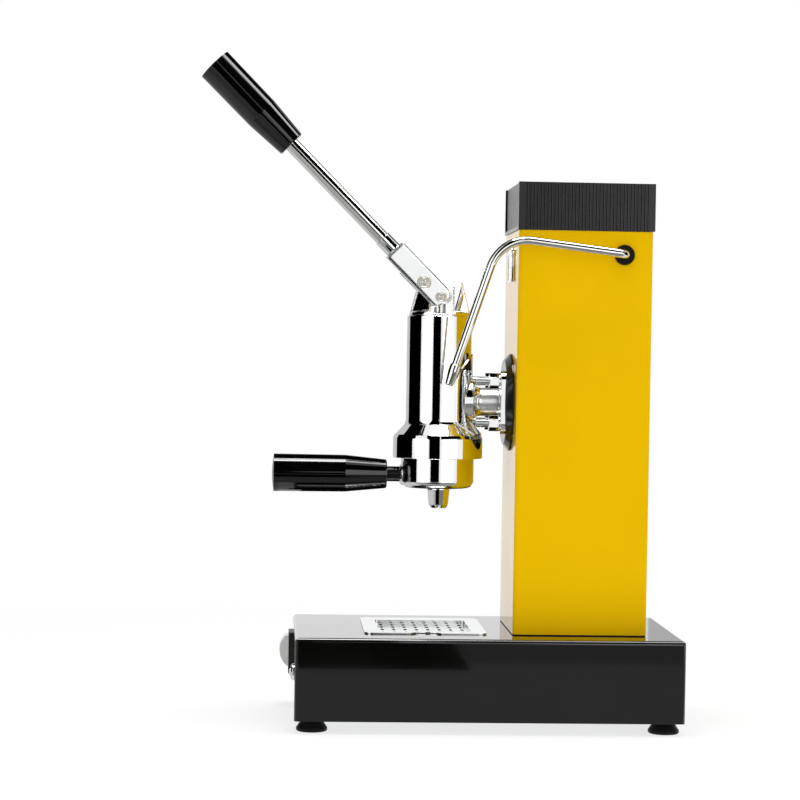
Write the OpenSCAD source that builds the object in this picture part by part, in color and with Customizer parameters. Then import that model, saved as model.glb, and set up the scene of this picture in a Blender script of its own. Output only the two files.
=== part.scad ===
// Column lever espresso machine. A sheet steel base and a square column carry a
// spring lever group, a boiler, a steam wand and a lift-out drip tray.
// Millimetres, +Z up. The origin is on the counter, on the axis of the group.
// The machine faces -X, and the steam wand hangs on its -Y side.

/* [Base] */
// Length of the base box, front to back
base_l = 290; // [275:1:320]
// Width of the base box
base_w = 158; // [150:1:190]
// Height of the base box
base_h = 61.5; // [56:0.5:80]
// Radius of the base box edges
base_round = 3; // [2:0.5:6]
// Thickness of the base sheet
base_wall = 1.5; // [1:0.1:1.9]
// Width of the return flange round the underside
base_lip = 26; // [24:1:32]
// Thickness of the bottom plate
plate_t = 1.5; // [1:0.1:2.5]
// Front face of the base to the axis of the group
group_setback = 108; // [100:1:118]

/* [Feet] */
// Height of a foot
foot_h = 9.2; // [7:0.2:14]
// Diameter of a foot on the counter
foot_d = 23.3; // [18:0.1:26]
// Diameter of a foot under the base
foot_neck_d = 15.6; // [13:0.1:17]
// Height of the rim of a foot
foot_rim_h = 2.4; // [1:0.1:4]
// Foot centre to the front or back face
foot_inset_x = 13.4; // [12.6:0.2:16]
// Foot centre to the side face
foot_inset_y = 18; // [15:0.5:20]
// Diameter of a foot screw
foot_screw_d = 5; // [4:0.1:6]

/* [Column] */
// Width of the square column
column_w = 101; // [98:0.5:108]
// Height of the column above the base
column_h = 304; // [296:1:330]
// Thickness of the column sheet
column_wall = 1.5; // [1.2:0.1:2]
// Radius of the column edges
column_round = 3; // [2.5:0.1:5]
// Axis of the group to the front of the column
column_reach = 55.2; // [53:0.1:60]
// Thickness of the strip under the column
column_seal_t = 0.8; // [0.5:0.1:1.5]
// Height of the column brackets
bracket_h = 16; // [12:1:18]
// Thickness of the column brackets
bracket_t = 2; // [1.5:0.1:3]

/* [Cap] */
// Height of the cap
cap_h = 35.7; // [34:0.1:45]
// How far the cap stands out past the column
cap_overhang = 1; // [0.5:0.1:1.5]
// Thickness of the cap walls
cap_wall = 2.5; // [2.2:0.1:3]
// How far the front and back walls of the cap are set in
cap_recess = 5.8; // [4:0.1:7]
// Width of the smooth post at each corner of the cap
cap_post = 4.3; // [3.5:0.1:6]
// Pitch of the ribs on the cap
rib_pitch = 2.6; // [2.2:0.1:4]
// Depth of the ribs on the cap
rib_depth = 0.9; // [0.4:0.1:1.2]
// Depth of the lip inside the column
cap_lip = 5; // [3:0.5:8]
// Number of vent slots in the top of the cap
vent_count = 7; // [4:1:9]

/* [Group] */
// Base top to the axis of the neck
neck_rise = 173.9; // [165:0.1:185]
// Outside diameter of the cylinder
cylinder_d = 50; // [48:0.1:53]
// Neck axis to the top of the cylinder
cylinder_rise = 65.1; // [63:0.1:75]
// Outside diameter of the collar
collar_d = 69.2; // [67:0.1:72]
// Neck axis to the lower face of the collar
collar_drop = 43.4; // [43:0.1:50]
// Height of the straight part of the collar
collar_h = 15.2; // [14.5:0.1:16.5]
// Height of the flare between collar and cylinder
flare_h = 14.3; // [12:0.1:18]
// Width of the lip at the foot of the flare
lip_w = 1; // [0.5:0.1:1.5]
// Height of the lip at the foot of the flare
lip_h = 2.6; // [2:0.1:4]
// Radius of the bend at the top of the flare
bend_r = 6; // [4:0.1:7]
// Slope from upright at which the bend meets the flare
bend_angle = 38; // [34:1:40]
// Outside diameter of the neck
neck_d = 21.7; // [18:0.1:25]
// Radius of the cove where the neck meets the cylinder
neck_cove = 7; // [5:0.1:8]
// Thickness of the saddle pad on the cylinder
pad_t = 1.2; // [0.8:0.1:2]
// Width of the saddle pad
pad_w = 46; // [40:0.5:48]
// Height of the saddle pad
pad_h = 74; // [66:0.5:76]
// Width of the square flange
flange_w = 48; // [47:0.5:51]
// Thickness of the flange
flange_t = 4; // [3:0.1:6]
// Radius of the flange corners
flange_round = 8; // [5:0.5:10]
// Diameter of the insulating disc at the column
disc_d = 74.6; // [72:0.1:80]
// Diameter of the front of the insulating disc
disc_front_d = 65; // [62:0.1:70]
// Thickness of the insulating disc
disc_t = 5.2; // [4:0.1:7]
// Diameter of the studs
stud_d = 6.5; // [5:0.1:7]
// Stud to the neck axis, sideways
stud_y = 17.5; // [17:0.1:18.5]
// Stud to the neck axis, upward
stud_z = 15.9; // [15:0.1:16.8]
// Width of the nuts across their flats
nut_flats = 10.5; // [10:0.1:11.5]
// Height of a nut
nut_h = 7.2; // [5:0.1:8]
// Diameter of the water passage
passage_d = 7; // [5:0.1:9]

/* [Piston] */
// Bore of the cylinder liner
bore_d = 42; // [40:0.1:43]
// Wall of the cylinder liner
liner_wall = 1.5; // [1.2:0.1:1.8]
// Height of the piston
piston_h = 34; // [30:0.5:36]
// Radial gap round the piston
piston_gap = 0.2; // [0.1:0.05:0.4]
// Depth of the seal grooves
groove_depth = 1.6; // [1:0.1:2.5]
// Width of the seal grooves
groove_w = 4; // [3:0.1:5]
// Diameter of the piston rod
piston_rod_d = 9.2; // [8.5:0.1:9.8]
// Diameter of the threaded end of the piston rod
rod_thread_d = 7; // [6:0.1:8]
// Wire diameter of the main spring
spring_wire_d = 4; // [3:0.1:4.4]
// Mean diameter of the main spring
spring_d = 32; // [28:0.5:35]
// Turns of the main spring
spring_turns = 5.5; // [4:0.5:6]

/* [Bonnet] */
// Height of the bonnet above the cylinder
bonnet_h = 26.4; // [25:0.1:28]
// Diameter of the bonnet at its foot
bonnet_d = 48; // [46:0.1:48]
// Diameter of the bonnet at its top
bonnet_top_d = 34; // [32:0.1:37]
// Depth of the spigot in the cylinder
spigot_h = 6; // [5:0.1:8]
// Thickness of the tower that carries the fulcrum
tongue_t = 12; // [11:0.1:13]
// Diameter of the boss round the fulcrum
eye_d = 12; // [11:0.1:12.4]
// Group axis to the left wall of the saddle
saddle_left = 7; // [6.6:0.1:7.6]
// Group axis to the right wall of the saddle
saddle_right = 9.7; // [9.6:0.1:10.5]
// Cylinder top to the floor of the saddle
saddle_floor = 1.9; // [1.5:0.1:2.5]
// Cylinder top to the shoulders beside the tower
shoulder_rise = 3.4; // [2.6:0.1:5]
// Radius of the crowned sides of the tower
crown_r = 300; // [150:10:600]

/* [Lever] */
// Fulcrum to rod pin
lever_arm = 17; // [16.8:0.05:17.2]
// Rod pin below the fulcrum, in degrees, with the lever up
arm_angle = 40; // [39.5:0.1:40.5]
// Cylinder top to the rod pin
rod_pin_rise = 14.7; // [14.4:0.1:15.2]
// Lean of the lever from upright
lever_tilt = 45; // [44:0.5:46]
// Width of the fork
fork_w = 17.6; // [16.8:0.1:18]
// Middle of the fork above the fulcrum, square to the lever
fork_offset = 1; // [0.5:0.1:1.4]
// Fulcrum to the top of the fork
fork_top = 33.8; // [32:0.1:38]
// Fulcrum to the middle of the round end of the fork
fork_end = 14.6; // [14.2:0.1:14.8]
// Radius of the round end of the fork
fork_end_r = 8; // [7.6:0.1:8.2]
// Fulcrum to the root of the slot in the fork
fork_slot = 18; // [17.6:0.1:20]
// Thickness of each cheek of the fork
cheek_t = 5; // [4:0.1:6]
// Radius of the edges of the fork
fork_round = 1.5; // [1:0.1:2]
// Width of the crowned margin round the cheeks of the fork
fork_margin = 2.3; // [1.5:0.1:2.8]
// Radius of the crowned margin
fork_margin_r = 8; // [6:0.1:9]
// Diameter of the fulcrum pin
fulcrum_d = 7; // [6:0.1:7.6]
// Diameter of the heads of the fulcrum pin
fulcrum_head_d = 11; // [10:0.1:12]
// Diameter of the rod pin
rod_pin_d = 5; // [4.5:0.1:5.4]
// Diameter of the heads of the rod pin
rod_pin_head_d = 8.6; // [8:0.1:9]
// Thickness of the pin heads
pin_head_t = 0.9; // [0.6:0.1:1.5]
// Radial play of the rod pin in its oblong eye
eye_play = 0.5; // [0.45:0.05:0.7]
// Wall round the oblong eye of the piston rod
eye_wall = 2; // [1.6:0.1:2.2]
// Diameter of the ferrule
ferrule_d = 13.2; // [12.6:0.1:15]
// Length of the ferrule
ferrule_l = 12.3; // [9:0.1:16]
// Diameter of the lever rod
lever_rod_d = 11.6; // [10:0.1:12.5]
// Fulcrum to the inner end of the lever grip
lever_grip_start = 145.8; // [138:0.1:160]
// Length of the lever grip
lever_grip_l = 85.6; // [80:0.1:95]
// Largest diameter of the lever grip
lever_grip_d = 27.4; // [26:0.1:31]
// Diameter of the inner end of the lever grip
lever_grip_neck_d = 22; // [20:0.1:24]
// Inner end of the lever grip to its edge
lever_grip_edge = 32.5; // [25:0.1:45]
// Diameter of the lever grip at its edge
lever_grip_edge_d = 26.7; // [24.5:0.1:30]
// Diameter of the threaded ends of the lever rod
lever_thread_d = 8; // [6:0.1:9]
// Length of the thread inside a grip
grip_thread = 34; // [25:1:45]
// Broken edge at the inner end of a grip
grip_break = 0.8; // [0.4:0.1:1.5]

/* [Portafilter] */
// Outside diameter of the portafilter
pf_d = 56.4; // [55.6:0.1:57]
// Collar to the underside of the portafilter
pf_drop = 22.9; // [22:0.1:28]
// Radius of the lower edge of the portafilter
pf_round = 5; // [3:0.1:6]
// Inside diameter of the portafilter
pf_bore_d = 52; // [51:0.1:52.6]
// Floor of the portafilter
pf_floor = 6; // [5:0.1:7]
// Diameter over the bayonet lugs
lug_d = 63.2; // [62:0.1:63.6]
// Height of a bayonet lug
lug_h = 3.7; // [3:0.1:4]
// Angle that a bayonet lug spans
lug_angle = 50; // [40:1:54]
// Angle from locked to free
pf_turn = 55; // [52:1:60]
// Thickness of the ledge that the lugs ride on
ledge_t = 4; // [3:0.1:4.5]
// Thickness of the group gasket
gasket_t = 6.7; // [6:0.1:7.2]
// Width of the group gasket
gasket_w = 5.8; // [5:0.1:6]
// Diameter of the basket
basket_d = 51; // [50:0.1:51.5]
// Depth of the basket
basket_depth = 22; // [18:0.1:23]
// Thickness of the basket sheet
basket_wall = 0.8; // [0.6:0.1:1]
// Portafilter underside to the middle of its neck
pf_neck_rise = 9.9; // [9.2:0.1:12]
// Diameter of the boss that the neck screws into
pf_boss_d = 17; // [15:0.1:17.8]
// Diameter of the neck
pf_neck_d = 11.6; // [10:0.1:13]
// Group axis to the inner end of the grip
pf_grip_start = 39; // [37:0.1:46]
// Length of the portafilter grip
pf_grip_l = 88; // [80:0.1:100]
// Largest diameter of the portafilter grip
pf_grip_d = 29; // [27:0.1:32]
// Diameter of the inner end of the portafilter grip
pf_grip_neck_d = 22.3; // [20:0.1:25]
// Inner end of the portafilter grip to its edge
pf_grip_edge = 31.8; // [25:0.1:45]
// Diameter of the portafilter grip at its edge
pf_grip_edge_d = 28.4; // [26:0.1:31]
// Group axis back to the middle of the spout
spout_offset = 1.3; // [0:0.1:2]
// Length of the spout
spout_l = 15.7; // [12:0.1:20]
// Diameter of the spout at the portafilter
spout_d = 17.4; // [15:0.1:19]
// Diameter of the spout at its tip
spout_tip_d = 14; // [12:0.1:15]
// Bore of the spout
spout_bore_d = 6; // [5:0.1:8]

/* [Steam] */
// Column front to the axis of the steam valve
valve_setback = 79.4; // [78:0.1:82]
// Column top to the axis of the steam valve
valve_drop = 17.5; // [16.5:0.1:19]
// Outside diameter of the wand pipe
wand_d = 6.6; // [6:0.1:7.4]
// Bore of the wand pipe
wand_bore_d = 4.4; // [4:0.1:4.8]
// Column side to the middle of the wand pipe
wand_out = 12; // [11.5:0.1:15]
// Radius of the elbow at the column
wand_elbow_r = 7.5; // [6:0.1:8.5]
// Rise of the upper run, in degrees
wand_rise = 6.9; // [4:0.1:9]
// Length of the upper run
wand_run = 63.9; // [60:0.1:75]
// Radius of the large bend
wand_bend_r = 29; // [25:0.5:36]
// Angle of the large bend
wand_bend = 78.4; // [74:0.1:86]
// Length of the lower run
wand_leg = 77; // [60:0.5:90]
// Length of the nozzle
nozzle_l = 16.6; // [12:0.1:22]
// Diameter of the nozzle
nozzle_d = 8.6; // [8.2:0.1:10]
// Diameter of the tip of the nozzle
nozzle_tip_d = 6.2; // [5:0.1:7]
// Outside diameter of the grommet
grommet_d = 15.4; // [14:0.1:18]
// Thickness of the grommet outside the column
grommet_t = 2.6; // [1.5:0.1:3]
// Diameter of the steam knob
knob_d = 34; // [28:0.5:38]
// Height of the steam knob
knob_h = 17; // [12:0.5:18]
// Number of flutes round the steam knob
knob_flutes = 8; // [5:1:12]
// Diameter of the valve spindle
spindle_d = 8; // [6:0.1:8.4]
// Diameter of the steam valve body
valve_d = 22; // [18:0.5:23]

/* [Boiler] */
// Outside diameter of the boiler
boiler_d = 80; // [76:0.5:84]
// Height of the boiler
boiler_h = 235; // [225:1:238]
// Base top to the boiler
boiler_rise = 27.5; // [26:0.5:30]
// Thickness of the boiler wall
boiler_wall = 2; // [1.5:0.1:3]
// Diameter of the boss behind the group
boss_d = 62; // [60:0.5:66]
// Outside diameter of the filler neck
filler_d = 28; // [24:0.5:30]
// Height of the filler neck
filler_h = 37; // [34:0.5:40]
// Boiler axis forward to the filler neck
filler_offset = 14; // [13:0.5:15]
// Diameter of the filler cap
filler_cap_d = 38; // [34:0.5:39]
// Height of the filler cap
filler_cap_h = 18; // [15:0.5:20]
// Boiler axis sideways to the safety valve and pressure switch
fitting_y = 28.5; // [28:0.1:29]
// Diameter of the pressure switch
switch_can_d = 21; // [18:0.1:21.5]
// Diameter of the heating rod
heater_d = 8; // [6:0.1:10]
// Length of the heating rod inside the boiler
heater_l = 120; // [80:1:180]

/* [Front panel] */
// Base underside to the middle of the switch and lamp
panel_rise = 34; // [32:0.5:38]
// Side of the base to the middle of the rocker switch
switch_inset = 19; // [19:0.5:32]
// Side of the base to the middle of the pilot lamp
lamp_inset = 19; // [19:0.5:36]
// Height of the switch frame
frame_h = 33; // [32:0.1:36]
// Width of the switch frame
frame_w = 25; // [24:0.1:28]
// Thickness of the switch frame
frame_t = 3.7; // [3:0.1:4.5]
// Height of the rocker
rocker_h = 27; // [25:0.1:27]
// Width of the rocker
rocker_w = 18; // [16:0.1:18.4]
// How far the rocker bulges past its pivot
rocker_bulge = 7.4; // [6:0.1:8.5]
// Tip of the rocker to either side, in degrees
rocker_tilt = 13; // [8:1:14]
// Diameter of the lamp bezel
lamp_d = 12.6; // [11:0.1:15]
// Thickness of the lamp bezel
lamp_t = 2.6; // [2:0.1:3.6]
// Diameter of the lamp lens
lens_d = 8; // [7:0.1:8.4]

/* [Drip tray] */
// Group axis forward to the middle of the drip plate
tray_forward = 9.8; // [5:0.1:10.4]
// Length of the drip plate
drip_l = 92; // [86:0.5:96]
// Width of the drip plate
drip_w = 100; // [94:0.5:110]
// Thickness of the drip plate
drip_t = 0.8; // [0.6:0.1:1.4]
// Length of the slotted recess
recess_l = 71.6; // [66:0.5:73]
// Width of the slotted recess
recess_w = 76; // [70:0.5:78]
// Depth of the slotted recess
recess_depth = 3; // [2:0.1:4]
// Columns of slots
slot_columns = 8; // [5:1:9]
// Rows of slots
slot_rows = 5; // [3:1:6]
// Width of a slot
slot_w = 2.4; // [1.6:0.1:3]
// Length of a slot
slot_l = 8; // [6:0.1:9]
// Middle of the drip plate sideways to the middle of the recess
recess_shift = 4; // [2:0.1:5]
// Depth of the finger notch in the side of the drip plate
finger_depth = 6.4; // [5:0.1:7]
// Diameter of the finger notch
finger_d = 27; // [22:0.5:30]
// Rim of the tray under the drip plate
tray_rim = 5; // [4:0.1:6]
// Depth of the tray
tray_depth = 32; // [22:0.5:36]
// Thickness of the tray sheet
tray_wall = 0.6; // [0.5:0.1:1]
// Overlap of the drip plate past the rim of the tray
rim_edge = 2.2; // [1.8:0.1:2.4]
// Gap round the rim of the tray in the top of the base
tray_play = 0.5; // [0.4:0.1:0.8]
// Width of the tray frame outside the opening in the base
tray_frame_w = 6; // [4:0.5:8]
// Thickness of the tray frame
tray_frame_t = 1.2; // [0.8:0.1:2]

/* [Mains inlet] */
// Side of the base to the middle of the inlet
inlet_inset = 39; // [31:0.5:46]
// Width of the inlet flange
inlet_w = 31; // [30:0.1:34]
// Height of the inlet flange
inlet_h = 24; // [23:0.1:27]
// Depth of the inlet body
inlet_depth = 22; // [18:0.5:24]

/* [Clearances] */
// Radial gap of a turning or sliding fit
run_gap = 0.05; // [0.02:0.01:0.08]
// Radial gap of a fixed fit
slip_gap = 0.1; // [0.05:0.01:0.15]
// Gap between pieces that lift or turn past each other
seat_gap = 0.3; // [0.25:0.05:0.35]
// Gap beside the tongue in the fork
fork_gap = 0.4; // [0.3:0.1:0.6]

/* [Hidden] */
$fn = 64;
// Overlap that carries a cut past a face
over = 1;

base_x = base_l / 2 - group_setback;
base_front = -group_setback;
base_back = base_l - group_setback;
base_top = foot_h + base_h;
plate_top = foot_h + plate_t;
column_x = column_reach + column_w / 2;
column_top = base_top + column_h;
column_in = column_w / 2 - column_wall;
cap_half = column_w / 2 + cap_overhang;

neck_z = base_top + neck_rise;
cylinder_top = neck_z + cylinder_rise;
collar_z = neck_z - collar_drop;
collar_top = collar_z + collar_h;
disc_x = column_reach - disc_t;
flange_x = disc_x - flange_t;
liner_d = bore_d + 2 * liner_wall;
ledge_top = collar_z + ledge_t;
lug_z = ledge_top + seat_gap;
rim_z = lug_z + lug_h;
gasket_z = rim_z + basket_wall + seat_gap;
gasket_top = gasket_z + gasket_t;
channel_d = lug_d + 2 * seat_gap;
mouth_d = pf_d + 2 * seat_gap;
gasket_in_d = liner_d + 2 * slip_gap;
gasket_out_d = gasket_in_d + 2 * gasket_w;
screen_h = 6.5;
screen_t = 1;
screen_top = gasket_top + 1;
liner_top = cylinder_top - spigot_h;

rod_pin_z = cylinder_top + rod_pin_rise;
fulcrum_x = -lever_arm * cos(arm_angle);
fulcrum_z = rod_pin_z + lever_arm * sin(arm_angle);
pin_slip = lever_arm * (1 - cos(arm_angle));
skew = 90 - lever_tilt - arm_angle;
fork_gap_w = tongue_t + 2 * fork_gap;
fork_t = fork_gap_w + 2 * cheek_t;
bonnet_top = cylinder_top + bonnet_h;
piston_z = screen_top + 2;
piston_top = piston_z + piston_h;
piston_d = bore_d - 2 * piston_gap;

pf_z = collar_z - pf_drop;
pf_neck_z = pf_z + pf_neck_rise;
pf_boss_x = pf_d / 2 + 0.8;

valve_x = column_reach + valve_setback;
valve_z = column_top - valve_drop;
side_y = column_w / 2;
wand_y = -side_y - wand_out;
boiler_z = base_top + boiler_rise;
boiler_top = boiler_z + boiler_h;
boiler_x = column_x;
filler_x = boiler_x - filler_offset;
filler_top = boiler_top + filler_h;

panel_z = foot_h + panel_rise;
switch_side = base_w / 2 - switch_inset;
lamp_side = base_w / 2 - lamp_inset;
inlet_side = base_w / 2 - inlet_inset;
pivot_x = base_front - frame_t + 0.6;
body_w = rocker_w + 3;
body_h = rocker_h + 3;
tray_x = -tray_forward;
pan_l = drip_l - 2 * tray_rim;
pan_w = drip_w - 2 * tray_rim;
rim_l = drip_l - 2 * rim_edge;
rim_w = drip_w - 2 * rim_edge;
ledge_z = base_top - base_wall;
tray_z = ledge_z + seat_gap;
drip_z = base_top + seat_gap;

yellow = "#e9b800";
black_paint = "#161616";
black_plastic = "#242424";
rubber = "#1b1b1b";
chrome = "#d7dbde";
steel = "#b9bdc0";
brass = "#c9a24a";
copper = "#b9734a";
white_plastic = "#d9d9d6";
lens_white = "#e4e2dc";

// A rectangle about the origin with round corners
module rounded_rect(l, w, r) {
  square([l - 2 * r, w], center = true);
  square([l, w - 2 * r], center = true);
  for (x = [-1, 1], y = [-1, 1])
    translate([x * (l / 2 - r), y * (w / 2 - r)])
      circle(r);
}

// A rectangle on the axis whose two upper corners are round
module top_rounded(w, h, r) {
  translate([-w / 2, 0])
    square([w, h - r]);
  translate([-w / 2 + r, 0])
    square([w - 2 * r, h]);
  for (x = [-1, 1])
    translate([x * (w / 2 - r), h - r])
      circle(r);
}

// A box on the floor whose upright and upper edges are round
module rounded_box(l, w, h, r) {
  intersection() {
    linear_extrude(h)
      rounded_rect(l, w, r);
    rotate([90, 0, 0])
      linear_extrude(w + 2 * over, center = true)
        top_rounded(l, h, r);
    rotate([90, 0, 90])
      linear_extrude(l + 2 * over, center = true)
        top_rounded(w, h, r);
  }
}

// A cylinder along +X from x
module bar_x(d, x, l) {
  translate([x, 0, 0])
    rotate([0, 90, 0])
      cylinder(d = d, h = l);
}

// A cylinder along +Y from y
module bar_y(d, y, l) {
  translate([0, y, 0])
    rotate([-90, 0, 0])
      cylinder(d = d, h = l);
}

// A slot with round ends along Y
module slot_2d(w, l) {
  square([w, l - w], center = true);
  for (s = [-1, 1])
    translate([0, s * (l - w) / 2])
      circle(d = w);
}

module at_feet() {
  for (x = [base_front + foot_inset_x, base_back - foot_inset_x], s = [-1, 1])
    translate([x, s * (base_w / 2 - foot_inset_y), 0])
      children();
}

module at_studs() {
  for (y = [-1, 1], z = [-1, 1])
    translate([0, y * stud_y, neck_z + z * stud_z])
      children();
}

// The places of the four bracket screws under the column
module at_bracket_screws() {
  for (x = [-1, 1], s = [-1, 1])
    translate([column_x + x * column_w / 4, s * (column_in - bracket_h / 2 - bracket_t / 2), 0])
      children();
}

// The lever's own frame: the fulcrum is its origin and +Z points to the grip
module lever_frame() {
  translate([fulcrum_x, 0, fulcrum_z])
    rotate([0, -lever_tilt, 0])
      children();
}

// The wand's own frame: the valve axis is its origin and the upper run goes along -X
module wand_frame() {
  translate([valve_x, 0, valve_z])
    rotate([0, wand_rise, 0])
      children();
}

screw_head_h = 2.4;
screw_gap = 0.2;

module base_shell() {
  color(black_paint)
    difference() {
      translate([base_x, 0, foot_h])
        rounded_box(base_l, base_w, base_h, base_round);
      translate([base_x, 0, plate_top + base_wall])
        rounded_box(
          base_l - 2 * base_wall, base_w - 2 * base_wall,
          base_h - plate_t - 2 * base_wall, base_round - base_wall
        );
      translate([base_x, 0, foot_h - over])
        linear_extrude(plate_t + over)
          square([base_l - 2 * base_wall, base_w - 2 * base_wall], center = true);
      translate([base_x, 0, foot_h])
        linear_extrude(base_h / 2)
          rounded_rect(base_l - 2 * base_lip, base_w - 2 * base_lip, base_round);
      at_feet()
        cylinder(d = foot_screw_d + 2 * slip_gap, h = base_top / 2);
      translate([tray_x, 0, base_top - base_h / 4])
        linear_extrude(base_h)
          rounded_rect(rim_l + 2 * tray_play, rim_w + 2 * tray_play, base_round + tray_play);
      translate([column_x, 0, base_top - base_h / 4])
        cylinder(d = boiler_d * 0.7, h = base_h);
      translate([0, 0, base_top - base_h / 4])
        at_bracket_screws()
          cylinder(d = foot_screw_d + 2 * slip_gap, h = base_h);
      translate([base_front, switch_side, panel_z])
        cube([4 * base_wall, body_w + 2 * slip_gap, body_h + 2 * slip_gap], center = true);
      translate([0, -lamp_side, panel_z])
        bar_x(lens_d + 2 * slip_gap, base_front - over, 4 * base_wall);
      translate([base_back, inlet_side, panel_z])
        cube([4 * base_wall, inlet_w - 4 + 2 * slip_gap, inlet_h - 4 + 2 * slip_gap], center = true);
    }
}

module base_plate() {
  color(steel)
    difference() {
      translate([base_x, 0, foot_h])
        linear_extrude(plate_t)
          square(
            [base_l - 2 * base_wall - 2 * screw_gap, base_w - 2 * base_wall - 2 * screw_gap],
            center = true
          );
      at_feet()
        cylinder(d = foot_screw_d + 2 * slip_gap, h = 2 * foot_h);
      translate([base_x, 0, foot_h])
        for (i = [-3 : 3])
          translate([i * 14, 0, -over])
            linear_extrude(plate_t + 2 * over)
              slot_2d(4, 40);
    }
}

foot_cup_d = foot_screw_d * 2.2;
foot_cup_h = foot_h / 2;

module feet() {
  color(rubber)
    at_feet()
      rotate_extrude()
        difference() {
          polygon([
            [0, 0], [foot_d / 2 - 0.8, 0], [foot_d / 2, 0.8], [foot_d / 2, foot_rim_h],
            [foot_neck_d / 2, foot_h - 1], [foot_neck_d / 2, foot_h], [0, foot_h]
          ]);
          translate([-over, -over])
            square([foot_screw_d / 2 + slip_gap + over, foot_h + 2 * over]);
          translate([-over, -over])
            square([foot_cup_d / 2 + screw_gap + over, foot_cup_h + over]);
        }
}

module foot_screws() {
  color(steel)
    at_feet() {
      translate([0, 0, foot_cup_h - screw_head_h])
        cylinder(d = foot_cup_d, h = screw_head_h);
      translate([0, 0, foot_cup_h - screw_head_h])
        cylinder(d = foot_screw_d, h = plate_top + base_wall + 3 * screw_head_h - foot_cup_h);
      translate([0, 0, plate_top + base_wall])
        cylinder(d = foot_screw_d * 1.9, h = screw_head_h * 1.5, $fn = 6);
    }
}

module column_shell() {
  color(yellow)
    difference() {
      translate([column_x, 0, base_top + column_seal_t])
        linear_extrude(column_h - column_seal_t)
          difference() {
            rounded_rect(column_w, column_w, column_round);
            rounded_rect(2 * column_in, 2 * column_in, column_round - column_wall);
          }
      translate([0, 0, neck_z])
        bar_x(passage_d * 2, column_reach - over, column_w / 4);
      at_studs()
        bar_x(stud_d + 2 * slip_gap, column_reach - over, column_w / 4);
      translate([valve_x, 0, valve_z])
        bar_y(grommet_hole_d, -column_w, 2 * column_w);
    }
}

grommet_hole_d = grommet_d - 3.4;

module column_seal() {
  color(rubber)
    translate([column_x, 0, base_top])
      linear_extrude(column_seal_t)
        difference() {
          rounded_rect(column_w - 0.6, column_w - 0.6, column_round);
          rounded_rect(2 * column_in, 2 * column_in, column_round - column_wall);
        }
}

module column_brackets() {
  color(steel)
    for (s = [-1, 1])
      difference() {
        translate([column_x, s * column_in, base_top])
          rotate([90, 0, 90])
            linear_extrude(column_w * 0.75, center = true)
              scale_side(s)
                polygon([
                  [0, 0], [bracket_h, 0], [bracket_h, bracket_t],
                  [bracket_t, bracket_t], [bracket_t, bracket_h], [0, bracket_h]
                ]);
        at_bracket_screws()
          cylinder(d = foot_screw_d + 2 * slip_gap, h = 2 * base_top);
      }
}

// Turns a bracket's section towards the middle of the column
module scale_side(s) {
  if (s > 0)
    mirror([1, 0])
      children();
  else
    children();
}

module bracket_screws() {
  color(steel)
    at_bracket_screws() {
      translate([0, 0, base_top - base_wall - screw_head_h])
        cylinder(d = foot_screw_d * 1.9, h = screw_head_h);
      translate([0, 0, base_top - base_wall - screw_head_h])
        cylinder(d = foot_screw_d, h = base_wall + bracket_t + 3 * screw_head_h);
      translate([0, 0, base_top + bracket_t])
        cylinder(d = foot_screw_d * 1.9, h = screw_head_h * 1.5, $fn = 6);
    }
}

rib_span = 2 * cap_half - 2 * cap_post;
rib_count = floor(rib_span / rib_pitch);
rib_start = -rib_count * rib_pitch / 2;

// One ribbed side of the cap: a plate along X whose outer face at y = 0 has grooves
module ribbed_plate(t) {
  polygon([
    [-cap_half, 0],
    for (i = [0 : rib_count - 1], k = [0 : 3])
      [
        rib_start + rib_pitch * (i + [0.1, 0.25, 0.55, 0.7][k]),
        [0, rib_depth, rib_depth, 0][k]
      ],
    [cap_half, 0], [cap_half, t], [-cap_half, t]
  ]);
}

// The cap seen from above: two ribbed sides, set-in front and back walls
module cap_walls() {
  for (a = [0, 180])
    rotate(a)
      translate([0, -cap_half])
        ribbed_plate(cap_wall + rib_depth);
  for (s = [-1, 1])
    translate([s * (cap_half - cap_recess - cap_wall / 2), 0])
      square([cap_wall, 2 * cap_half - 2 * cap_wall], center = true);
}

module top_cap() {
  color(black_plastic)
    translate([column_x, 0, column_top + seat_gap]) {
      linear_extrude(cap_h)
        cap_walls();
      linear_extrude(cap_wall)
        difference() {
          square([2 * cap_half, 2 * cap_half - 2 * rib_depth], center = true);
          square([2 * (cap_half - cap_recess - cap_wall), 2 * (column_in - 4)], center = true);
        }
      translate([0, 0, -cap_lip])
        linear_extrude(cap_lip + cap_wall)
          difference() {
            rounded_rect(2 * (column_in - seat_gap), 2 * (column_in - seat_gap), column_round);
            rounded_rect(
              2 * (column_in - seat_gap - cap_wall), 2 * (column_in - seat_gap - cap_wall),
              column_round
            );
            square([2 * cap_half, 2 * column_in - 30], center = true);
          }
      translate([0, 0, cap_h - cap_wall])
        linear_extrude(cap_wall)
          difference() {
            square([2 * (cap_half - cap_recess), 2 * cap_half - 2 * cap_wall], center = true);
            for (i = [0 : vent_count - 1])
              translate([(i - (vent_count - 1) / 2) * 2 * cap_half / (vent_count + 3), 0])
                slot_2d(4, cap_half);
          }
    }
}

module insulating_disc() {
  color(rubber)
    difference() {
      translate([disc_x, 0, neck_z])
        rotate([0, 90, 0])
          rotate_extrude()
            polygon([
              [passage_d, 0], [disc_front_d / 2, 0], [disc_d / 2, disc_t * 0.75],
              [disc_d / 2, disc_t], [passage_d, disc_t]
            ]);
      at_studs()
        bar_x(stud_d + 2 * slip_gap, disc_x - over, disc_t + 2 * over);
    }
}

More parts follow.
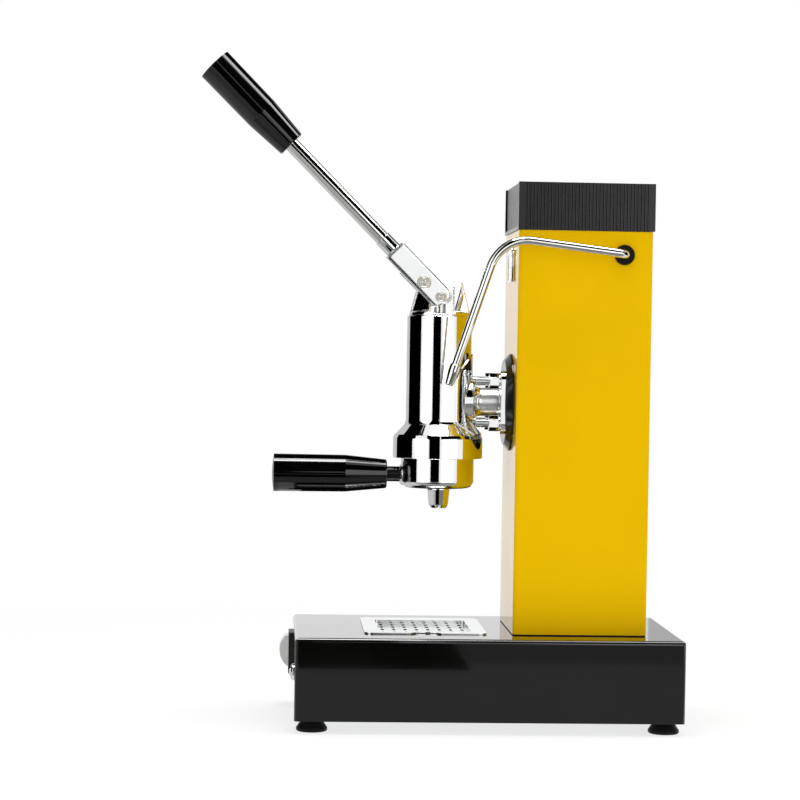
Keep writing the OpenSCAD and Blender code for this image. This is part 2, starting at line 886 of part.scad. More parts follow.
// The outside of the group seen as a half section, grown by t
module group_profile(t) {
  wall = cylinder_d / 2 + t;
  rim = collar_d / 2 + t;
  flare_top = collar_top + flare_h;
  bend = [wall + bend_r, flare_top];
  translate([0, collar_z])
    square([wall, cylinder_top - collar_z]);
  translate([0, collar_z])
    square([rim, collar_h]);
  difference() {
    polygon([
      [0, collar_top - over], [rim, collar_top - over], [rim, collar_top],
      [rim - lip_w, collar_top + lip_h], bend - bend_r * [cos(bend_angle), sin(bend_angle) + 0.02],
      bend, [wall, flare_top], [0, flare_top]
    ]);
    translate(bend)
      circle(bend_r);
  }
}

module saddle_pad() {
  intersection() {
    rotate_extrude()
      group_profile(pad_t);
    translate([0, 0, neck_z])
      rotate([90, 0, 90])
        linear_extrude(collar_d)
          slot_2d(pad_w, pad_h);
    translate([0, 0, collar_z])
      cylinder(d = collar_d - 2, h = cylinder_top - collar_z);
  }
}

// The trumpet at the root of the neck
module neck_root() {
  root_r = neck_d / 2 + neck_cove;
  root_x = cylinder_d / 2 + pad_t / 2;
  translate([0, 0, neck_z])
    rotate([0, 90, 0])
      rotate_extrude()
        difference() {
          translate([0, cylinder_d / 4])
            square([root_r, root_x + neck_cove - cylinder_d / 4]);
          translate([root_r, root_x + neck_cove])
            circle(neck_cove);
        }
}

module group_body() {
  color(chrome)
    difference() {
      union() {
        rotate_extrude()
          group_profile(0);
        saddle_pad();
        translate([0, 0, neck_z])
          bar_x(neck_d, cylinder_d / 4, disc_x - cylinder_d / 4);
        neck_root();
        translate([flange_x, 0, neck_z])
          rotate([90, 0, 90])
            linear_extrude(flange_t)
              rounded_rect(flange_w, flange_w, flange_round);
      }
      translate([0, 0, collar_z - over])
        cylinder(d = mouth_d, h = ledge_t + 2 * over);
      translate([0, 0, ledge_top])
        cylinder(d = channel_d, h = gasket_z - ledge_top);
      translate([0, 0, gasket_z - over])
        cylinder(d = gasket_out_d + 2 * slip_gap, h = gasket_t + over);
      translate([0, 0, gasket_top - over])
        cylinder(d = liner_d + 2 * slip_gap, h = cylinder_top - gasket_top + 2 * over);
      for (a = [0, 180])
        translate([0, 0, collar_z - over])
          rotate(90 - pf_turn - (lug_angle + 8) / 2 + a)
            rotate_extrude(angle = lug_angle + 8)
              square([channel_d / 2 - seat_gap / 2, ledge_t + 2 * over]);
      translate([0, 0, neck_z])
        bar_x(passage_d, 0, disc_x + over);
      at_studs()
        bar_x(stud_d + 2 * slip_gap, flange_x - over, flange_t + 2 * over);
    }
}

stud_l = 38;
stud_x = disc_x + disc_t + column_wall + 9 - stud_l;
washer_t = 1.4;

module group_studs() {
  color(steel)
    at_studs()
      bar_x(stud_d, stud_x, stud_l);
}

module group_nuts() {
  color(chrome)
    at_studs()
      difference() {
        union() {
          translate([flange_x - washer_t - nut_h, 0, 0])
            rotate([0, 90, 0])
              cylinder(d = nut_flats / cos(30), h = nut_h, $fn = 6);
          bar_x(nut_flats * 1.15, flange_x - washer_t, washer_t);
        }
        bar_x(stud_d + 2 * slip_gap, flange_x - nut_h - 2 * over - washer_t, nut_h + 4 * over);
      }
}

module cylinder_liner() {
  color(brass)
    difference() {
      translate([0, 0, screen_top])
        cylinder(d = liner_d, h = liner_top - screen_top);
      translate([0, 0, screen_top - over])
        cylinder(d = bore_d, h = liner_top - screen_top + 2 * over);
      translate([0, 0, neck_z])
        bar_x(passage_d, 0, liner_d);
    }
}

module group_gasket() {
  color(rubber)
    translate([0, 0, gasket_z])
      difference() {
        cylinder(d = gasket_out_d, h = gasket_t);
        translate([0, 0, -over])
          cylinder(d = gasket_in_d, h = gasket_t + 2 * over);
      }
}

// Rings of small holes in a round sheet
module hole_rings(rings, pitch, d, h) {
  for (k = [1 : rings], i = [0 : 6 * k - 1])
    rotate(i * 60 / k)
      translate([k * pitch, 0, -over])
        cylinder(d = d, h = h + 2 * over);
}

module shower_screen() {
  color(steel)
    translate([0, 0, screen_top - screen_h])
      difference() {
        cylinder(d = liner_d - slip_gap, h = screen_h);
        translate([0, 0, screen_t])
          cylinder(d = bore_d, h = screen_h);
        hole_rings(3, 5.5, 1.8, screen_t);
      }
}

// The plan of the tower on the bonnet: a bar with two gently crowned sides
module tower_plan() {
  intersection() {
    translate([0, crown_r - tongue_t / 2, cylinder_top])
      cylinder(r = crown_r, h = bonnet_h + eye_d, $fn = 720);
    translate([0, tongue_t / 2 - crown_r, cylinder_top])
      cylinder(r = crown_r, h = bonnet_h + eye_d, $fn = 720);
  }
}

module bonnet() {
  color(chrome)
    difference() {
      union() {
        difference() {
          union() {
            translate([0, 0, cylinder_top])
              cylinder(d1 = bonnet_d, d2 = bonnet_top_d, h = bonnet_h);
            translate([0, 0, liner_top])
              cylinder(d = liner_d, h = spigot_h + over);
          }
          difference() {
            translate([-cylinder_d, -cylinder_d, cylinder_top + shoulder_rise])
              cube([2 * cylinder_d, 2 * cylinder_d, 2 * bonnet_h]);
            tower_plan();
          }
          translate([-saddle_left, -cylinder_d, cylinder_top + saddle_floor])
            cube([saddle_left + saddle_right, 2 * cylinder_d, 2 * bonnet_h]);
        }
        translate([fulcrum_x, 0, fulcrum_z])
          bar_y(eye_d, -tongue_t / 2, tongue_t);
      }
      translate([fulcrum_x, 0, fulcrum_z])
        bar_y(fulcrum_d + 2 * run_gap, -tongue_t, 2 * tongue_t);
      translate([0, 0, liner_top - over])
        cylinder(d = piston_rod_d + 2 * run_gap, h = bonnet_h);
    }
}

// The wire of the spring: rings of points along a helix, joined in a tube
spring_rings = 10;
spring_sides = 6;
spring_gap = 0.15;
spring_z = piston_top + spring_gap + spring_wire_d / 2;
spring_rise = liner_top - spring_gap - spring_wire_d / 2 - spring_z;
spring_steps = ceil(spring_turns * spring_rings);
function spring_point(i, k) =
  let (
    a = 360 * spring_turns * i / spring_steps,
    b = 360 * k / spring_sides,
    r = spring_d / 2 + spring_wire_d / 2 * cos(b),
    z = spring_z + spring_rise * i / spring_steps + spring_wire_d / 2 * sin(b)
  )
  [r * cos(a), r * sin(a), z];
spring_self_gap = spring_rise / spring_turns - spring_wire_d;

module main_spring() {
  last = spring_steps * spring_sides;
  echo(spring_self_gap = spring_self_gap);
  color(steel)
    polyhedron(
      points = [
        for (i = [0 : spring_steps], k = [0 : spring_sides - 1])
          spring_point(i, k)
      ],
      faces = concat(
        [
          for (i = [0 : spring_steps - 1], k = [0 : spring_sides - 1], t = [0, 1])
            let (
              n = (k + 1) % spring_sides,
              a = i * spring_sides + k,
              b = i * spring_sides + n,
              c = a + spring_sides,
              d = b + spring_sides
            )
            t == 0 ? [a, b, d] : [a, d, c]
        ],
        [
          for (k = [1 : spring_sides - 2])
            [0, k + 1, k]
        ],
        [
          for (k = [1 : spring_sides - 2])
            [last, last + k, last + k + 1]
        ]
      )
    );
}

seal_rise = 3;

module at_seals() {
  for (z = [piston_z + seal_rise, piston_top - seal_rise - groove_w])
    translate([0, 0, z])
      children();
}

module piston() {
  color(brass)
    difference() {
      translate([0, 0, piston_z])
        cylinder(d = piston_d, h = piston_h);
      at_seals()
        difference() {
          cylinder(d = bore_d + over, h = groove_w);
          cylinder(d = piston_d - 2 * groove_depth, h = groove_w);
        }
      translate([0, 0, piston_top - piston_h * 0.7])
        cylinder(d = rod_thread_d + 2 * slip_gap, h = piston_h);
    }
}

module piston_seals() {
  color(rubber)
    at_seals()
      translate([0, 0, slip_gap])
        difference() {
          cylinder(d = bore_d - 2 * run_gap, h = groove_w - 2 * slip_gap);
          translate([0, 0, -over])
            cylinder(d = piston_d - 2 * groove_depth + 2 * slip_gap, h = groove_w + 2 * over);
        }
}

module rod_eye(r) {
  translate([0, -r])
    square([pin_slip, 2 * r]);
  for (x = [0, pin_slip])
    translate([x, 0])
      circle(r);
}

module piston_rod() {
  eye_r = rod_pin_d / 2 + eye_play;
  color(chrome)
    difference() {
      union() {
        translate([0, 0, piston_top - piston_h * 0.7 + slip_gap])
          cylinder(d = rod_thread_d, h = piston_h);
        translate([0, 0, piston_top])
          cylinder(d = piston_rod_d, h = rod_pin_z - piston_top);
        translate([0, 0, rod_pin_z])
          rotate([90, 0, 0])
            linear_extrude(piston_rod_d, center = true)
              rod_eye(eye_r + eye_wall);
      }
      translate([0, 0, rod_pin_z])
        rotate([90, 0, 0])
          linear_extrude(tongue_t, center = true)
            rod_eye(eye_r);
    }
}

// The fork seen from its side, in the lever's frame
module fork_side() {
  left = fork_offset - fork_w / 2;
  right = fork_offset + fork_w / 2;
  end_x = right - fork_end_r;
  translate([end_x, -fork_end])
    circle(fork_end_r);
  polygon([
    [left, fork_top], [left, -fork_end - fork_end_r / 2], [left + 1.4, -fork_end - fork_end_r * 0.69],
    [end_x - fork_end_r * 0.19, -fork_end - fork_end_r * 0.982], [end_x, -fork_end],
    [right, -fork_end], [right, fork_top]
  ]);
}

module fork_pins_2d(clear) {
  circle(d = fulcrum_d + clear);
  rotate(skew)
    translate([0, -lever_arm])
      circle(d = rod_pin_d + clear);
}

// A section of the fork whose broad sides fall away along a margin
module fork_section(l, w) {
  intersection() {
    rounded_rect(l, w + fork_round / 3, fork_round);
    rounded_rect(l + 2 * (fork_margin_r - fork_margin), w, fork_margin_r);
  }
}

module lever_fork() {
  color(chrome)
    lever_frame()
      difference() {
        intersection() {
          rotate([90, 0, 0])
            linear_extrude(fork_t + over, center = true)
              fork_side();
          translate([fork_offset, 0, -2 * fork_end])
            linear_extrude(fork_top + 3 * fork_end)
              fork_section(fork_w, fork_t);
          translate([0, 0, fork_top / 2 - fork_end])
            rotate([0, 90, 0])
              linear_extrude(3 * fork_w, center = true)
                fork_section(fork_top + 2 * fork_end, fork_t + over / 25);
        }
        translate([-fork_w, -fork_gap_w / 2, -3 * fork_end])
          cube([2 * fork_w, fork_gap_w, fork_slot + 3 * fork_end]);
        rotate([90, 0, 0])
          linear_extrude(2 * fork_t, center = true)
            fork_pins_2d(2 * run_gap);
        translate([fork_offset, 0, fork_slot + 3])
          cylinder(d = lever_thread_d + 2 * slip_gap, h = fork_top);
      }
}

// A pin across the fork with a dished head at each end
module headed_pin(d, head_d) {
  bar_y(d, -fork_t / 2 - over / 10, fork_t + over / 5);
  dish = pin_head_t * 0.55;
  for (s = [0, 1])
    mirror([0, s, 0])
      translate([0, fork_t / 2, 0])
        rotate([-90, 0, 0])
          rotate_extrude()
            polygon([
              [0, 0], [head_d / 2, 0], [head_d / 2, pin_head_t - dish], [head_d * 0.45, pin_head_t],
              [head_d * 0.36, pin_head_t], [head_d * 0.3, pin_head_t - dish],
              [head_d * 0.17, pin_head_t - dish], [head_d * 0.1, pin_head_t - dish / 2],
              [0, pin_head_t - dish / 2]
            ]);
}

module fulcrum_pin() {
  color(steel)
    lever_frame()
      headed_pin(fulcrum_d, fulcrum_head_d);
}

module rod_pin() {
  color(steel)
    lever_frame()
      rotate([0, -skew, 0])
        translate([0, 0, -lever_arm])
          headed_pin(rod_pin_d, rod_pin_head_d);
}

module lever_ferrule() {
  color(chrome)
    lever_frame()
      translate([fork_offset, 0, fork_top])
        difference() {
          cylinder(d = ferrule_d, h = ferrule_l);
          translate([0, 0, -over])
            cylinder(d = lever_thread_d + 2 * slip_gap, h = ferrule_l + 2 * over);
        }
}

module lever_rod() {
  rod_z = fork_top + ferrule_l;
  color(chrome)
    lever_frame()
      translate([fork_offset, 0, 0]) {
        translate([0, 0, fork_slot + 3.5])
          cylinder(d = lever_thread_d, h = lever_grip_start + grip_thread - fork_slot - 3.5);
        translate([0, 0, rod_z])
          cylinder(d = lever_rod_d, h = lever_grip_start - rod_z);
      }
}

// A turned grip along +Z: a tapered inner part up to an edge, an outer part that widens a little
// and a low domed end
module grip(l, d, edge_z, edge_d, neck_d, bore_d) {
  dome_r = d * 2.6;
  rotate_extrude()
    difference() {
      intersection() {
        polygon([
          [0, 0], [neck_d / 2 - grip_break, 0], [neck_d / 2, grip_break], [edge_d / 2, edge_z],
          [d / 2, l], [0, l]
        ]);
        union() {
          translate([0, l - dome_r])
            circle(dome_r, $fn = 200);
          square([d, l - dome_r / 2]);
        }
      }
      translate([-over, -over])
        square([bore_d / 2 + over, grip_thread + 2 * over]);
    }
}

module lever_grip() {
  color(black_plastic)
    lever_frame()
      translate([fork_offset, 0, lever_grip_start])
        grip(
          lever_grip_l, lever_grip_d, lever_grip_edge, lever_grip_edge_d, lever_grip_neck_d,
          lever_thread_d + 2 * slip_gap
        );
}

module portafilter_body() {
  color(chrome)
    difference() {
      union() {
        rotate_extrude() {
          translate([0, pf_z])
            square([pf_d / 2 - pf_round, pf_round + over]);
          translate([0, pf_z + pf_round])
            square([pf_d / 2, rim_z - pf_z - pf_round]);
          translate([pf_d / 2 - pf_round, pf_z + pf_round])
            circle(pf_round);
        }
        for (a = [0, 180])
          translate([0, 0, lug_z])
            rotate(90 - lug_angle / 2 + a)
              rotate_extrude(angle = lug_angle)
                translate([pf_bore_d / 2 + over / 2, 0])
                  square([(lug_d - pf_bore_d - over) / 2, lug_h]);
        translate([0, 0, pf_neck_z])
          rotate([0, -90, 0]) {
            cylinder(d = pf_boss_d, h = pf_boss_x - 1.6);
            translate([0, 0, pf_boss_x - 1.6])
              cylinder(d1 = pf_boss_d, d2 = pf_boss_d - 3.2, h = 1.6);
          }
      }
      translate([0, 0, pf_z + pf_floor])
        cylinder(d = pf_bore_d, h = rim_z);
      translate([0, 0, pf_z - over])
        cylinder(d = spout_bore_d + 2 * slip_gap + 4, h = pf_floor + 2 * over);
      translate([0, 0, pf_neck_z])
        bar_x(neck_thread_d + 2 * slip_gap, -pf_boss_x - over, pf_boss_x - pf_bore_d / 2 + over + 1);
    }
}

neck_thread_d = pf_neck_d - 3.6;

module filter_basket() {
  color(steel)
    translate([0, 0, rim_z])
      difference() {
        union() {
          cylinder(d = pf_d - 1, h = basket_wall);
          translate([0, 0, -basket_depth])
            cylinder(d = basket_d, h = basket_depth + basket_wall);
        }
        translate([0, 0, -basket_depth + basket_wall])
          cylinder(d = basket_d - 2 * basket_wall, h = basket_depth + basket_wall);
        translate([0, 0, -basket_depth])
          hole_rings(2, 7, 1.6, basket_wall);
      }
}

clip_d = (pf_bore_d - basket_d) / 2 * 0.7;

module basket_clip() {
  color(steel)
    translate([0, 0, rim_z - 6])
      rotate(20)
        rotate_extrude(angle = 320)
          translate([(pf_bore_d + basket_d) / 4, 0])
            circle(d = clip_d);
}

module portafilter_neck() {
  neck_l = pf_grip_start - pf_boss_x;
  color(black_paint)
    translate([0, 0, pf_neck_z]) {
      bar_x(pf_neck_d, -pf_grip_start, neck_l);
      bar_x(neck_thread_d, -pf_grip_start - grip_thread, grip_thread + pf_grip_start - pf_bore_d / 2 - 0.6);
    }
}

module portafilter_grip() {
  color(black_plastic)
    translate([-pf_grip_start, 0, pf_neck_z])
      rotate([0, -90, 0])
        grip(
          pf_grip_l, pf_grip_d, pf_grip_edge, pf_grip_edge_d, pf_grip_neck_d,
          neck_thread_d + 2 * slip_gap
        );
}

spout_thread_d = spout_bore_d + 4;

module spout() {
  color(chrome)
    difference() {
      union() {
        translate([0, 0, pf_z - over])
          cylinder(d = spout_thread_d, h = pf_floor);
        translate([spout_offset, 0, pf_z])
          rotate_extrude()
            polygon([
              [0, 0], [spout_d / 2, 0], [spout_d / 2, -1.6], [spout_tip_d / 2 + 0.6, -spout_l + 2.4],
              [spout_tip_d / 2 - 1, -spout_l], [0, -spout_l]
            ]);
      }
      translate([0, 0, pf_z - 3 * over])
        cylinder(d = spout_bore_d, h = 2 * pf_floor);
      translate([spout_offset, 0, pf_z - spout_l - over])
        cylinder(d = spout_tip_d - 4, h = spout_l - over);
    }
}

module boiler() {
  color(copper)
    difference() {
      union() {
        translate([boiler_x, 0, boiler_z])
          cylinder(d = boiler_d, h = boiler_h);
        translate([0, 0, neck_z])
          bar_x(boss_d, column_reach + column_wall, boiler_x - column_reach - column_wall);
        translate([filler_x, 0, boiler_top - over])
          cylinder(d = filler_d, h = filler_h + over);
      }
      translate([boiler_x, 0, boiler_z + boiler_wall])
        cylinder(d = boiler_d - 2 * boiler_wall, h = boiler_h - 2 * boiler_wall);
      translate([0, 0, neck_z])
        bar_x(passage_d, column_reach, boiler_d / 2);
      at_studs()
        bar_x(stud_d + 2 * slip_gap, column_reach, 12);
      translate([filler_x, 0, boiler_top - 2 * boiler_wall])
        cylinder(d = filler_d - 4, h = filler_h + boiler_d);
      translate([boiler_x, 0, boiler_z - over])
        cylinder(d = plug_d + 2 * slip_gap, h = boiler_wall + 2 * over);
      for (s = [-1, 1])
        translate([boiler_x, s * fitting_y, boiler_top - 2 * boiler_wall])
          cylinder(d = fitting_d + 2 * slip_gap, h = 4 * boiler_wall);
      translate([valve_x, 0, boiler_top - 2 * boiler_wall])
        cylinder(d = fitting_d + 2 * slip_gap, h = 4 * boiler_wall);
    }
}

plug_d = 4 * heater_d;
fitting_d = 8;
heater_legs = 1.4 * heater_d;

module filler_cap() {
  color(black_plastic)
    translate([filler_x, 0, filler_top + seat_gap]) {
      linear_extrude(filler_cap_h)
        difference() {
          circle(d = filler_cap_d);
          for (i = [0 : 11])
            rotate(i * 30)
              translate([filler_cap_d / 2 + 1.6, 0])
                circle(r = 3);
        }
      translate([0, 0, -8])
        cylinder(d = filler_d - 4 - 2 * run_gap, h = 9);
    }
}

module heating_element() {
  color(steel)
    translate([boiler_x, 0, boiler_z]) {
      translate([0, 0, -8])
        cylinder(d = plug_d * 1.3, h = 8, $fn = 6);
      translate([0, 0, -over])
        cylinder(d = plug_d, h = boiler_wall + over + 3);
      for (s = [-1, 1]) {
        translate([0, s * heater_legs, 0])
          cylinder(d = heater_d, h = heater_l);
        translate([0, s * heater_legs / 2, -16])
          cylinder(d = heater_d / 2, h = 10);
      }
      translate([0, 0, heater_l])
        rotate([90, 0, 90])
          rotate_extrude(angle = 180)
            translate([heater_legs, 0])
              circle(d = heater_d);
    }
}

module safety_valve() {
  color(brass)
    translate([boiler_x, fitting_y, boiler_top]) {
      translate([0, 0, -boiler_wall])
        cylinder(d = fitting_d, h = boiler_wall + over);
      cylinder(d = 16, h = 7, $fn = 6);
      translate([0, 0, 6])
        cylinder(d = 11, h = 14);
      translate([0, 0, 20])
        cylinder(d = 6, h = 5);
    }
}

module pressure_switch() {
  color(steel)
    translate([boiler_x, -fitting_y, boiler_top]) {
      translate([0, 0, -boiler_wall])
        cylinder(d = fitting_d, h = boiler_wall + over);
      cylinder(d = 14, h = 6, $fn = 6);
      translate([0, 0, 5])
        cylinder(d = switch_can_d, h = 12);
      for (s = [-1, 1])
        translate([s * 4 - 0.4, -3, 16])
          cube([0.8, 6, 8]);
    }
}

valve_half = column_in - 8;

module steam_valve() {
  color(brass)
    translate([valve_x, 0, 0])
      difference() {
        union() {
          translate([0, 0, valve_z])
            bar_y(valve_d, -valve_half, 2 * valve_half);
          translate([0, 0, boiler_top])
            cylinder(d = fitting_d * 1.7, h = valve_z - boiler_top);
          translate([0, 0, boiler_top - boiler_wall])
            cylinder(d = fitting_d, h = boiler_wall + over);
        }
        translate([0, 0, valve_z]) {
          bar_y(spindle_d + 2 * run_gap, valve_half / 3, valve_half);
          bar_y(wand_d + 2 * run_gap, -valve_half - over, valve_half / 2);
          bar_y(wand_bore_d, -valve_half, 1.5 * valve_half);
        }
        translate([0, 0, boiler_top - boiler_wall - over])
          cylinder(d = wand_bore_d * 0.8, h = valve_z - boiler_top + boiler_wall + over);
      }
}

// A bush round the valve axis in a side wall of the column; it stands out by t
module side_bush(out_d, t, bore_d) {
  rotate([-90, 0, 0])
    difference() {
      union() {
        translate([0, 0, side_y])
          cylinder(d1 = out_d, d2 = out_d - 1.2, h = t);
        translate([0, 0, side_y - column_wall - 0.1])
          cylinder(d = grommet_hole_d - 2 * slip_gap, h = column_wall + 0.2);
        translate([0, 0, side_y - column_wall - 2])
          cylinder(d = grommet_hole_d + 2.4, h = 2);
      }
      translate([0, 0, side_y - column_wall - 2 * over - 2])
        cylinder(d = bore_d, h = t + column_wall + 4 * over + 2);
    }
}

module wand_grommet() {
  color(rubber)
    translate([valve_x, 0, valve_z])
      mirror([0, 1, 0])
        side_bush(grommet_d, grommet_t, wand_d + 2 * run_gap);
}

module spindle_bush() {
  color(rubber)
    translate([valve_x, 0, valve_z])
      side_bush(grommet_d, grommet_t, spindle_d + 2 * run_gap);
}

wand_start = -valve_half + valve_half / 3;

// The section of the wand pipe, with a wall thinner by step on both sides
module pipe_ring(step) {
  difference() {
    circle(d = wand_d - 2 * step);
    circle(d = wand_bore_d + 2 * step);
  }
}

// The lower run of the wand: its origin is the end of the bend and +Z points to the tip
module wand_leg_frame() {
  wand_frame()
    translate([-wand_elbow_r - wand_run, wand_y, -wand_bend_r])
      rotate([90, -90, 0])
        rotate(wand_bend)
          translate([wand_bend_r, 0, 0])
            rotate([-90, 0, 0])
              children();
}

module wand_pipe() {
  color(chrome) {
    wand_frame() {
      translate([0, wand_y + wand_elbow_r, 0])
        rotate([-90, 0, 0])
          linear_extrude(wand_start - wand_y - wand_elbow_r)
            pipe_ring(0);
      translate([-wand_elbow_r, wand_y + wand_elbow_r, 0])
        rotate(-90)
          rotate_extrude(angle = 90)
            translate([wand_elbow_r, 0])
              pipe_ring(0);
      translate([-wand_elbow_r - wand_run, wand_y, 0])
        rotate([0, 90, 0])
          linear_extrude(wand_run)
            pipe_ring(0);
      translate([-wand_elbow_r - wand_run, wand_y, -wand_bend_r])
        rotate([90, -90, 0])
          rotate_extrude(angle = wand_bend)
            translate([wand_bend_r, 0])
              pipe_ring(0);
    }
    wand_leg_frame()
      translate([0, 0, -0.4])
        linear_extrude(wand_leg + 0.4)
          pipe_ring(0.02);
  }
}

module wand_nozzle() {
  color(chrome)
    wand_leg_frame()
      translate([0, 0, wand_leg])
        rotate_extrude()
          difference() {
            polygon([
              [0, 0], [nozzle_d / 2 - 0.6, 0], [nozzle_d / 2, 0.6], [nozzle_d / 2, nozzle_l * 0.35],
              [nozzle_tip_d / 2, nozzle_l - 1], [nozzle_tip_d / 2 - 1, nozzle_l], [0, nozzle_l]
            ]);
            translate([-over, -over])
              square([over + 1, nozzle_l + 2 * over]);
          }
}

knob_y = side_y + grommet_t + 2;

module steam_spindle() {
  color(steel)
    translate([valve_x, 0, valve_z])
      bar_y(spindle_d, valve_half / 2, knob_y + knob_h * 0.6 - valve_half / 2);
}

module steam_knob() {
  color(black_plastic)
    translate([valve_x, knob_y, valve_z])
      rotate([-90, 0, 0])
        difference() {
          union() {
            linear_extrude(knob_h - 2)
              difference() {
                circle(d = knob_d);
                for (i = [0 : knob_flutes - 1])
                  rotate(i * 360 / knob_flutes)
                    translate([knob_d * 0.6, 0])
                      circle(d = knob_d * 0.32);
              }
            cylinder(d = knob_d * 0.74, h = knob_h);
          }
          translate([0, 0, -over])
            cylinder(d = spindle_d + 2 * slip_gap, h = knob_h * 0.6 + over);
        }
}

trunnion_d = 3;

module switch_frame() {
  color(black_plastic)
    difference() {
      union() {
        translate([base_front - frame_t, switch_side, panel_z])
          rotate([90, 0, 90])
            linear_extrude(frame_t)
              rounded_rect(frame_w, frame_h, 2);
        translate([base_front - over, switch_side - body_w / 2, panel_z - body_h / 2])
          cube([22, body_w, body_h]);
      }
      translate([pivot_x, switch_side, panel_z])
        bar_y(rocker_h + 2 * seat_gap, -rocker_w / 2 - seat_gap, rocker_w + 2 * seat_gap);
      translate([base_front - frame_t - over, switch_side - rocker_w / 2 - seat_gap, panel_z])
        translate([0, 0, -rocker_h / 2 - seat_gap])
          cube([frame_t + over, rocker_w + 2 * seat_gap, rocker_h + 2 * seat_gap]);
      translate([pivot_x, switch_side, panel_z])
        bar_y(trunnion_d + 2 * run_gap, -body_w / 2 - 0.3, body_w + 0.6);
    }
}

module rocker() {
  face_r = (rocker_bulge * rocker_bulge + rocker_h * rocker_h / 4) / (2 * rocker_bulge);
  color(white_plastic)
    translate([pivot_x, switch_side, panel_z])
      rotate([0, -rocker_tilt, 0]) {
        rotate([90, 0, 0])
          linear_extrude(rocker_w, center = true)
            intersection() {
              circle(d = rocker_h);
              translate([face_r - rocker_bulge, 0])
                circle(face_r);
              translate([-rocker_h, -rocker_h])
                square([rocker_h + rocker_h / 4, 2 * rocker_h]);
            }
        bar_y(trunnion_d, -body_w / 2, body_w);
      }
}

module lamp_bezel() {
  color(chrome)
    translate([base_front, -lamp_side, panel_z])
      rotate([0, -90, 0])
        rotate_extrude()
          difference() {
            polygon([
              [0, -14], [lens_d / 2, -14], [lens_d / 2, 0], [lamp_d / 2, 0],
              [lamp_d / 2, lamp_t * 0.5], [lamp_d / 2 - 1.4, lamp_t], [0, lamp_t]
            ]);
            translate([-over, -12])
              square([lens_d / 2 - 1 + over, 12 + lamp_t + over]);
          }
}

module lamp_lens() {
  dome_r = lens_d * 0.8;
  lens_r = lens_d / 2 - 1 - slip_gap;
  color(lens_white)
    translate([base_front, -lamp_side, panel_z])
      rotate([0, -90, 0])
        rotate_extrude()
          intersection() {
            translate([0, -12])
              square([lens_r, 12 + lamp_t + 2]);
            translate([0, lamp_t + 1.4 - dome_r])
              union() {
                circle(dome_r);
                translate([0, -20])
                  square([lens_r, 20]);
              }
          }
}

// The frame under the top of the base that carries the tray by its rim
module tray_frame() {
  color(steel)
    translate([tray_x, 0, ledge_z - tray_frame_t])
      linear_extrude(tray_frame_t)
        difference() {
          rounded_rect(
            rim_l + 2 * tray_play + 2 * tray_frame_w, rim_w + 2 * tray_play + 2 * tray_frame_w,
            base_round
          );
          rounded_rect(pan_l + 2 * seat_gap, pan_w + 2 * seat_gap, base_round);
        }
}

module drip_tray() {
  color(steel)
    translate([tray_x, 0, tray_z])
      difference() {
        union() {
          difference() {
            linear_extrude(tray_wall)
              rounded_rect(rim_l, rim_w, base_round);
            finger_notch();
          }
          translate([0, 0, -tray_depth])
            linear_extrude(tray_depth + tray_wall)
              rounded_rect(pan_l - 2 * seat_gap, pan_w - 2 * seat_gap, base_round);
        }
        translate([0, 0, -tray_depth + tray_wall])
          linear_extrude(tray_depth + over)
            rounded_rect(
              pan_l - 2 * seat_gap - 2 * tray_wall, pan_w - 2 * seat_gap - 2 * tray_wall,
              base_round - tray_wall
            );
      }
}

// The finger notch at the near side of the drip plate and of the tray rim
module finger_notch() {
  translate([0, -drip_w / 2 - finger_d / 2 + finger_depth, -recess_depth - 2 * over])
    cylinder(d = finger_d, h = 2 * recess_depth + 4 * over);
}

module drip_plate() {
  column_pitch = (recess_l - 2 * drip_t) / slot_columns;
  row_pitch = (recess_w - 2 * drip_t) / slot_rows;
  color(chrome)
    translate([tray_x, 0, drip_z])
      difference() {
        union() {
          linear_extrude(drip_t)
            rounded_rect(drip_l, drip_w, 2 * base_round);
          translate([0, -recess_shift, -recess_depth])
            linear_extrude(recess_depth + drip_t / 2)
              rounded_rect(recess_l, recess_w, base_round);
        }
        translate([0, -recess_shift, -recess_depth + drip_t])
          linear_extrude(recess_depth + over)
            rounded_rect(recess_l - 2 * drip_t, recess_w - 2 * drip_t, base_round - drip_t);
        for (i = [0 : slot_columns - 1], k = [0 : slot_rows - 1])
          translate([
            (i - (slot_columns - 1) / 2) * column_pitch,
            (k - (slot_rows - 1) / 2) * row_pitch - recess_shift,
            -recess_depth - over
          ])
            linear_extrude(recess_depth)
              slot_2d(slot_w, slot_l);
        finger_notch();
      }
}

module mains_inlet() {
  color(black_plastic)
    difference() {
      union() {
        translate([base_back, inlet_side, panel_z])
          rotate([90, 0, 90])
            linear_extrude(2)
              rounded_rect(inlet_w, inlet_h, 2);
        translate([base_back - inlet_depth, inlet_side - inlet_w / 2 + 2, panel_z - inlet_h / 2 + 2])
          cube([inlet_depth + over, inlet_w - 4, inlet_h - 4]);
      }
      translate([base_back - inlet_depth + 4, inlet_side, panel_z])
        rotate([90, 0, 90])
          linear_extrude(inlet_depth)
            rounded_rect(inlet_w - 7, inlet_h - 8, 2);
      at_inlet_pins()
        translate([-inlet_depth, 0, 0])
          cube([8, 2.2, 4.2], center = true);
    }
}

// The three contacts of the inlet, about the middle of their outer ends
module at_inlet_pins() {
  for (p = [[-7, -2], [0, 2], [7, -2]])
    translate([base_back, inlet_side + p[0], panel_z + p[1]])
      children();
}

module inlet_pins() {
  color(steel)
    at_inlet_pins()
      translate([-inlet_depth / 2 - 3, 0, 0])
        cube([inlet_depth - 2, 2, 4], center = true);
}

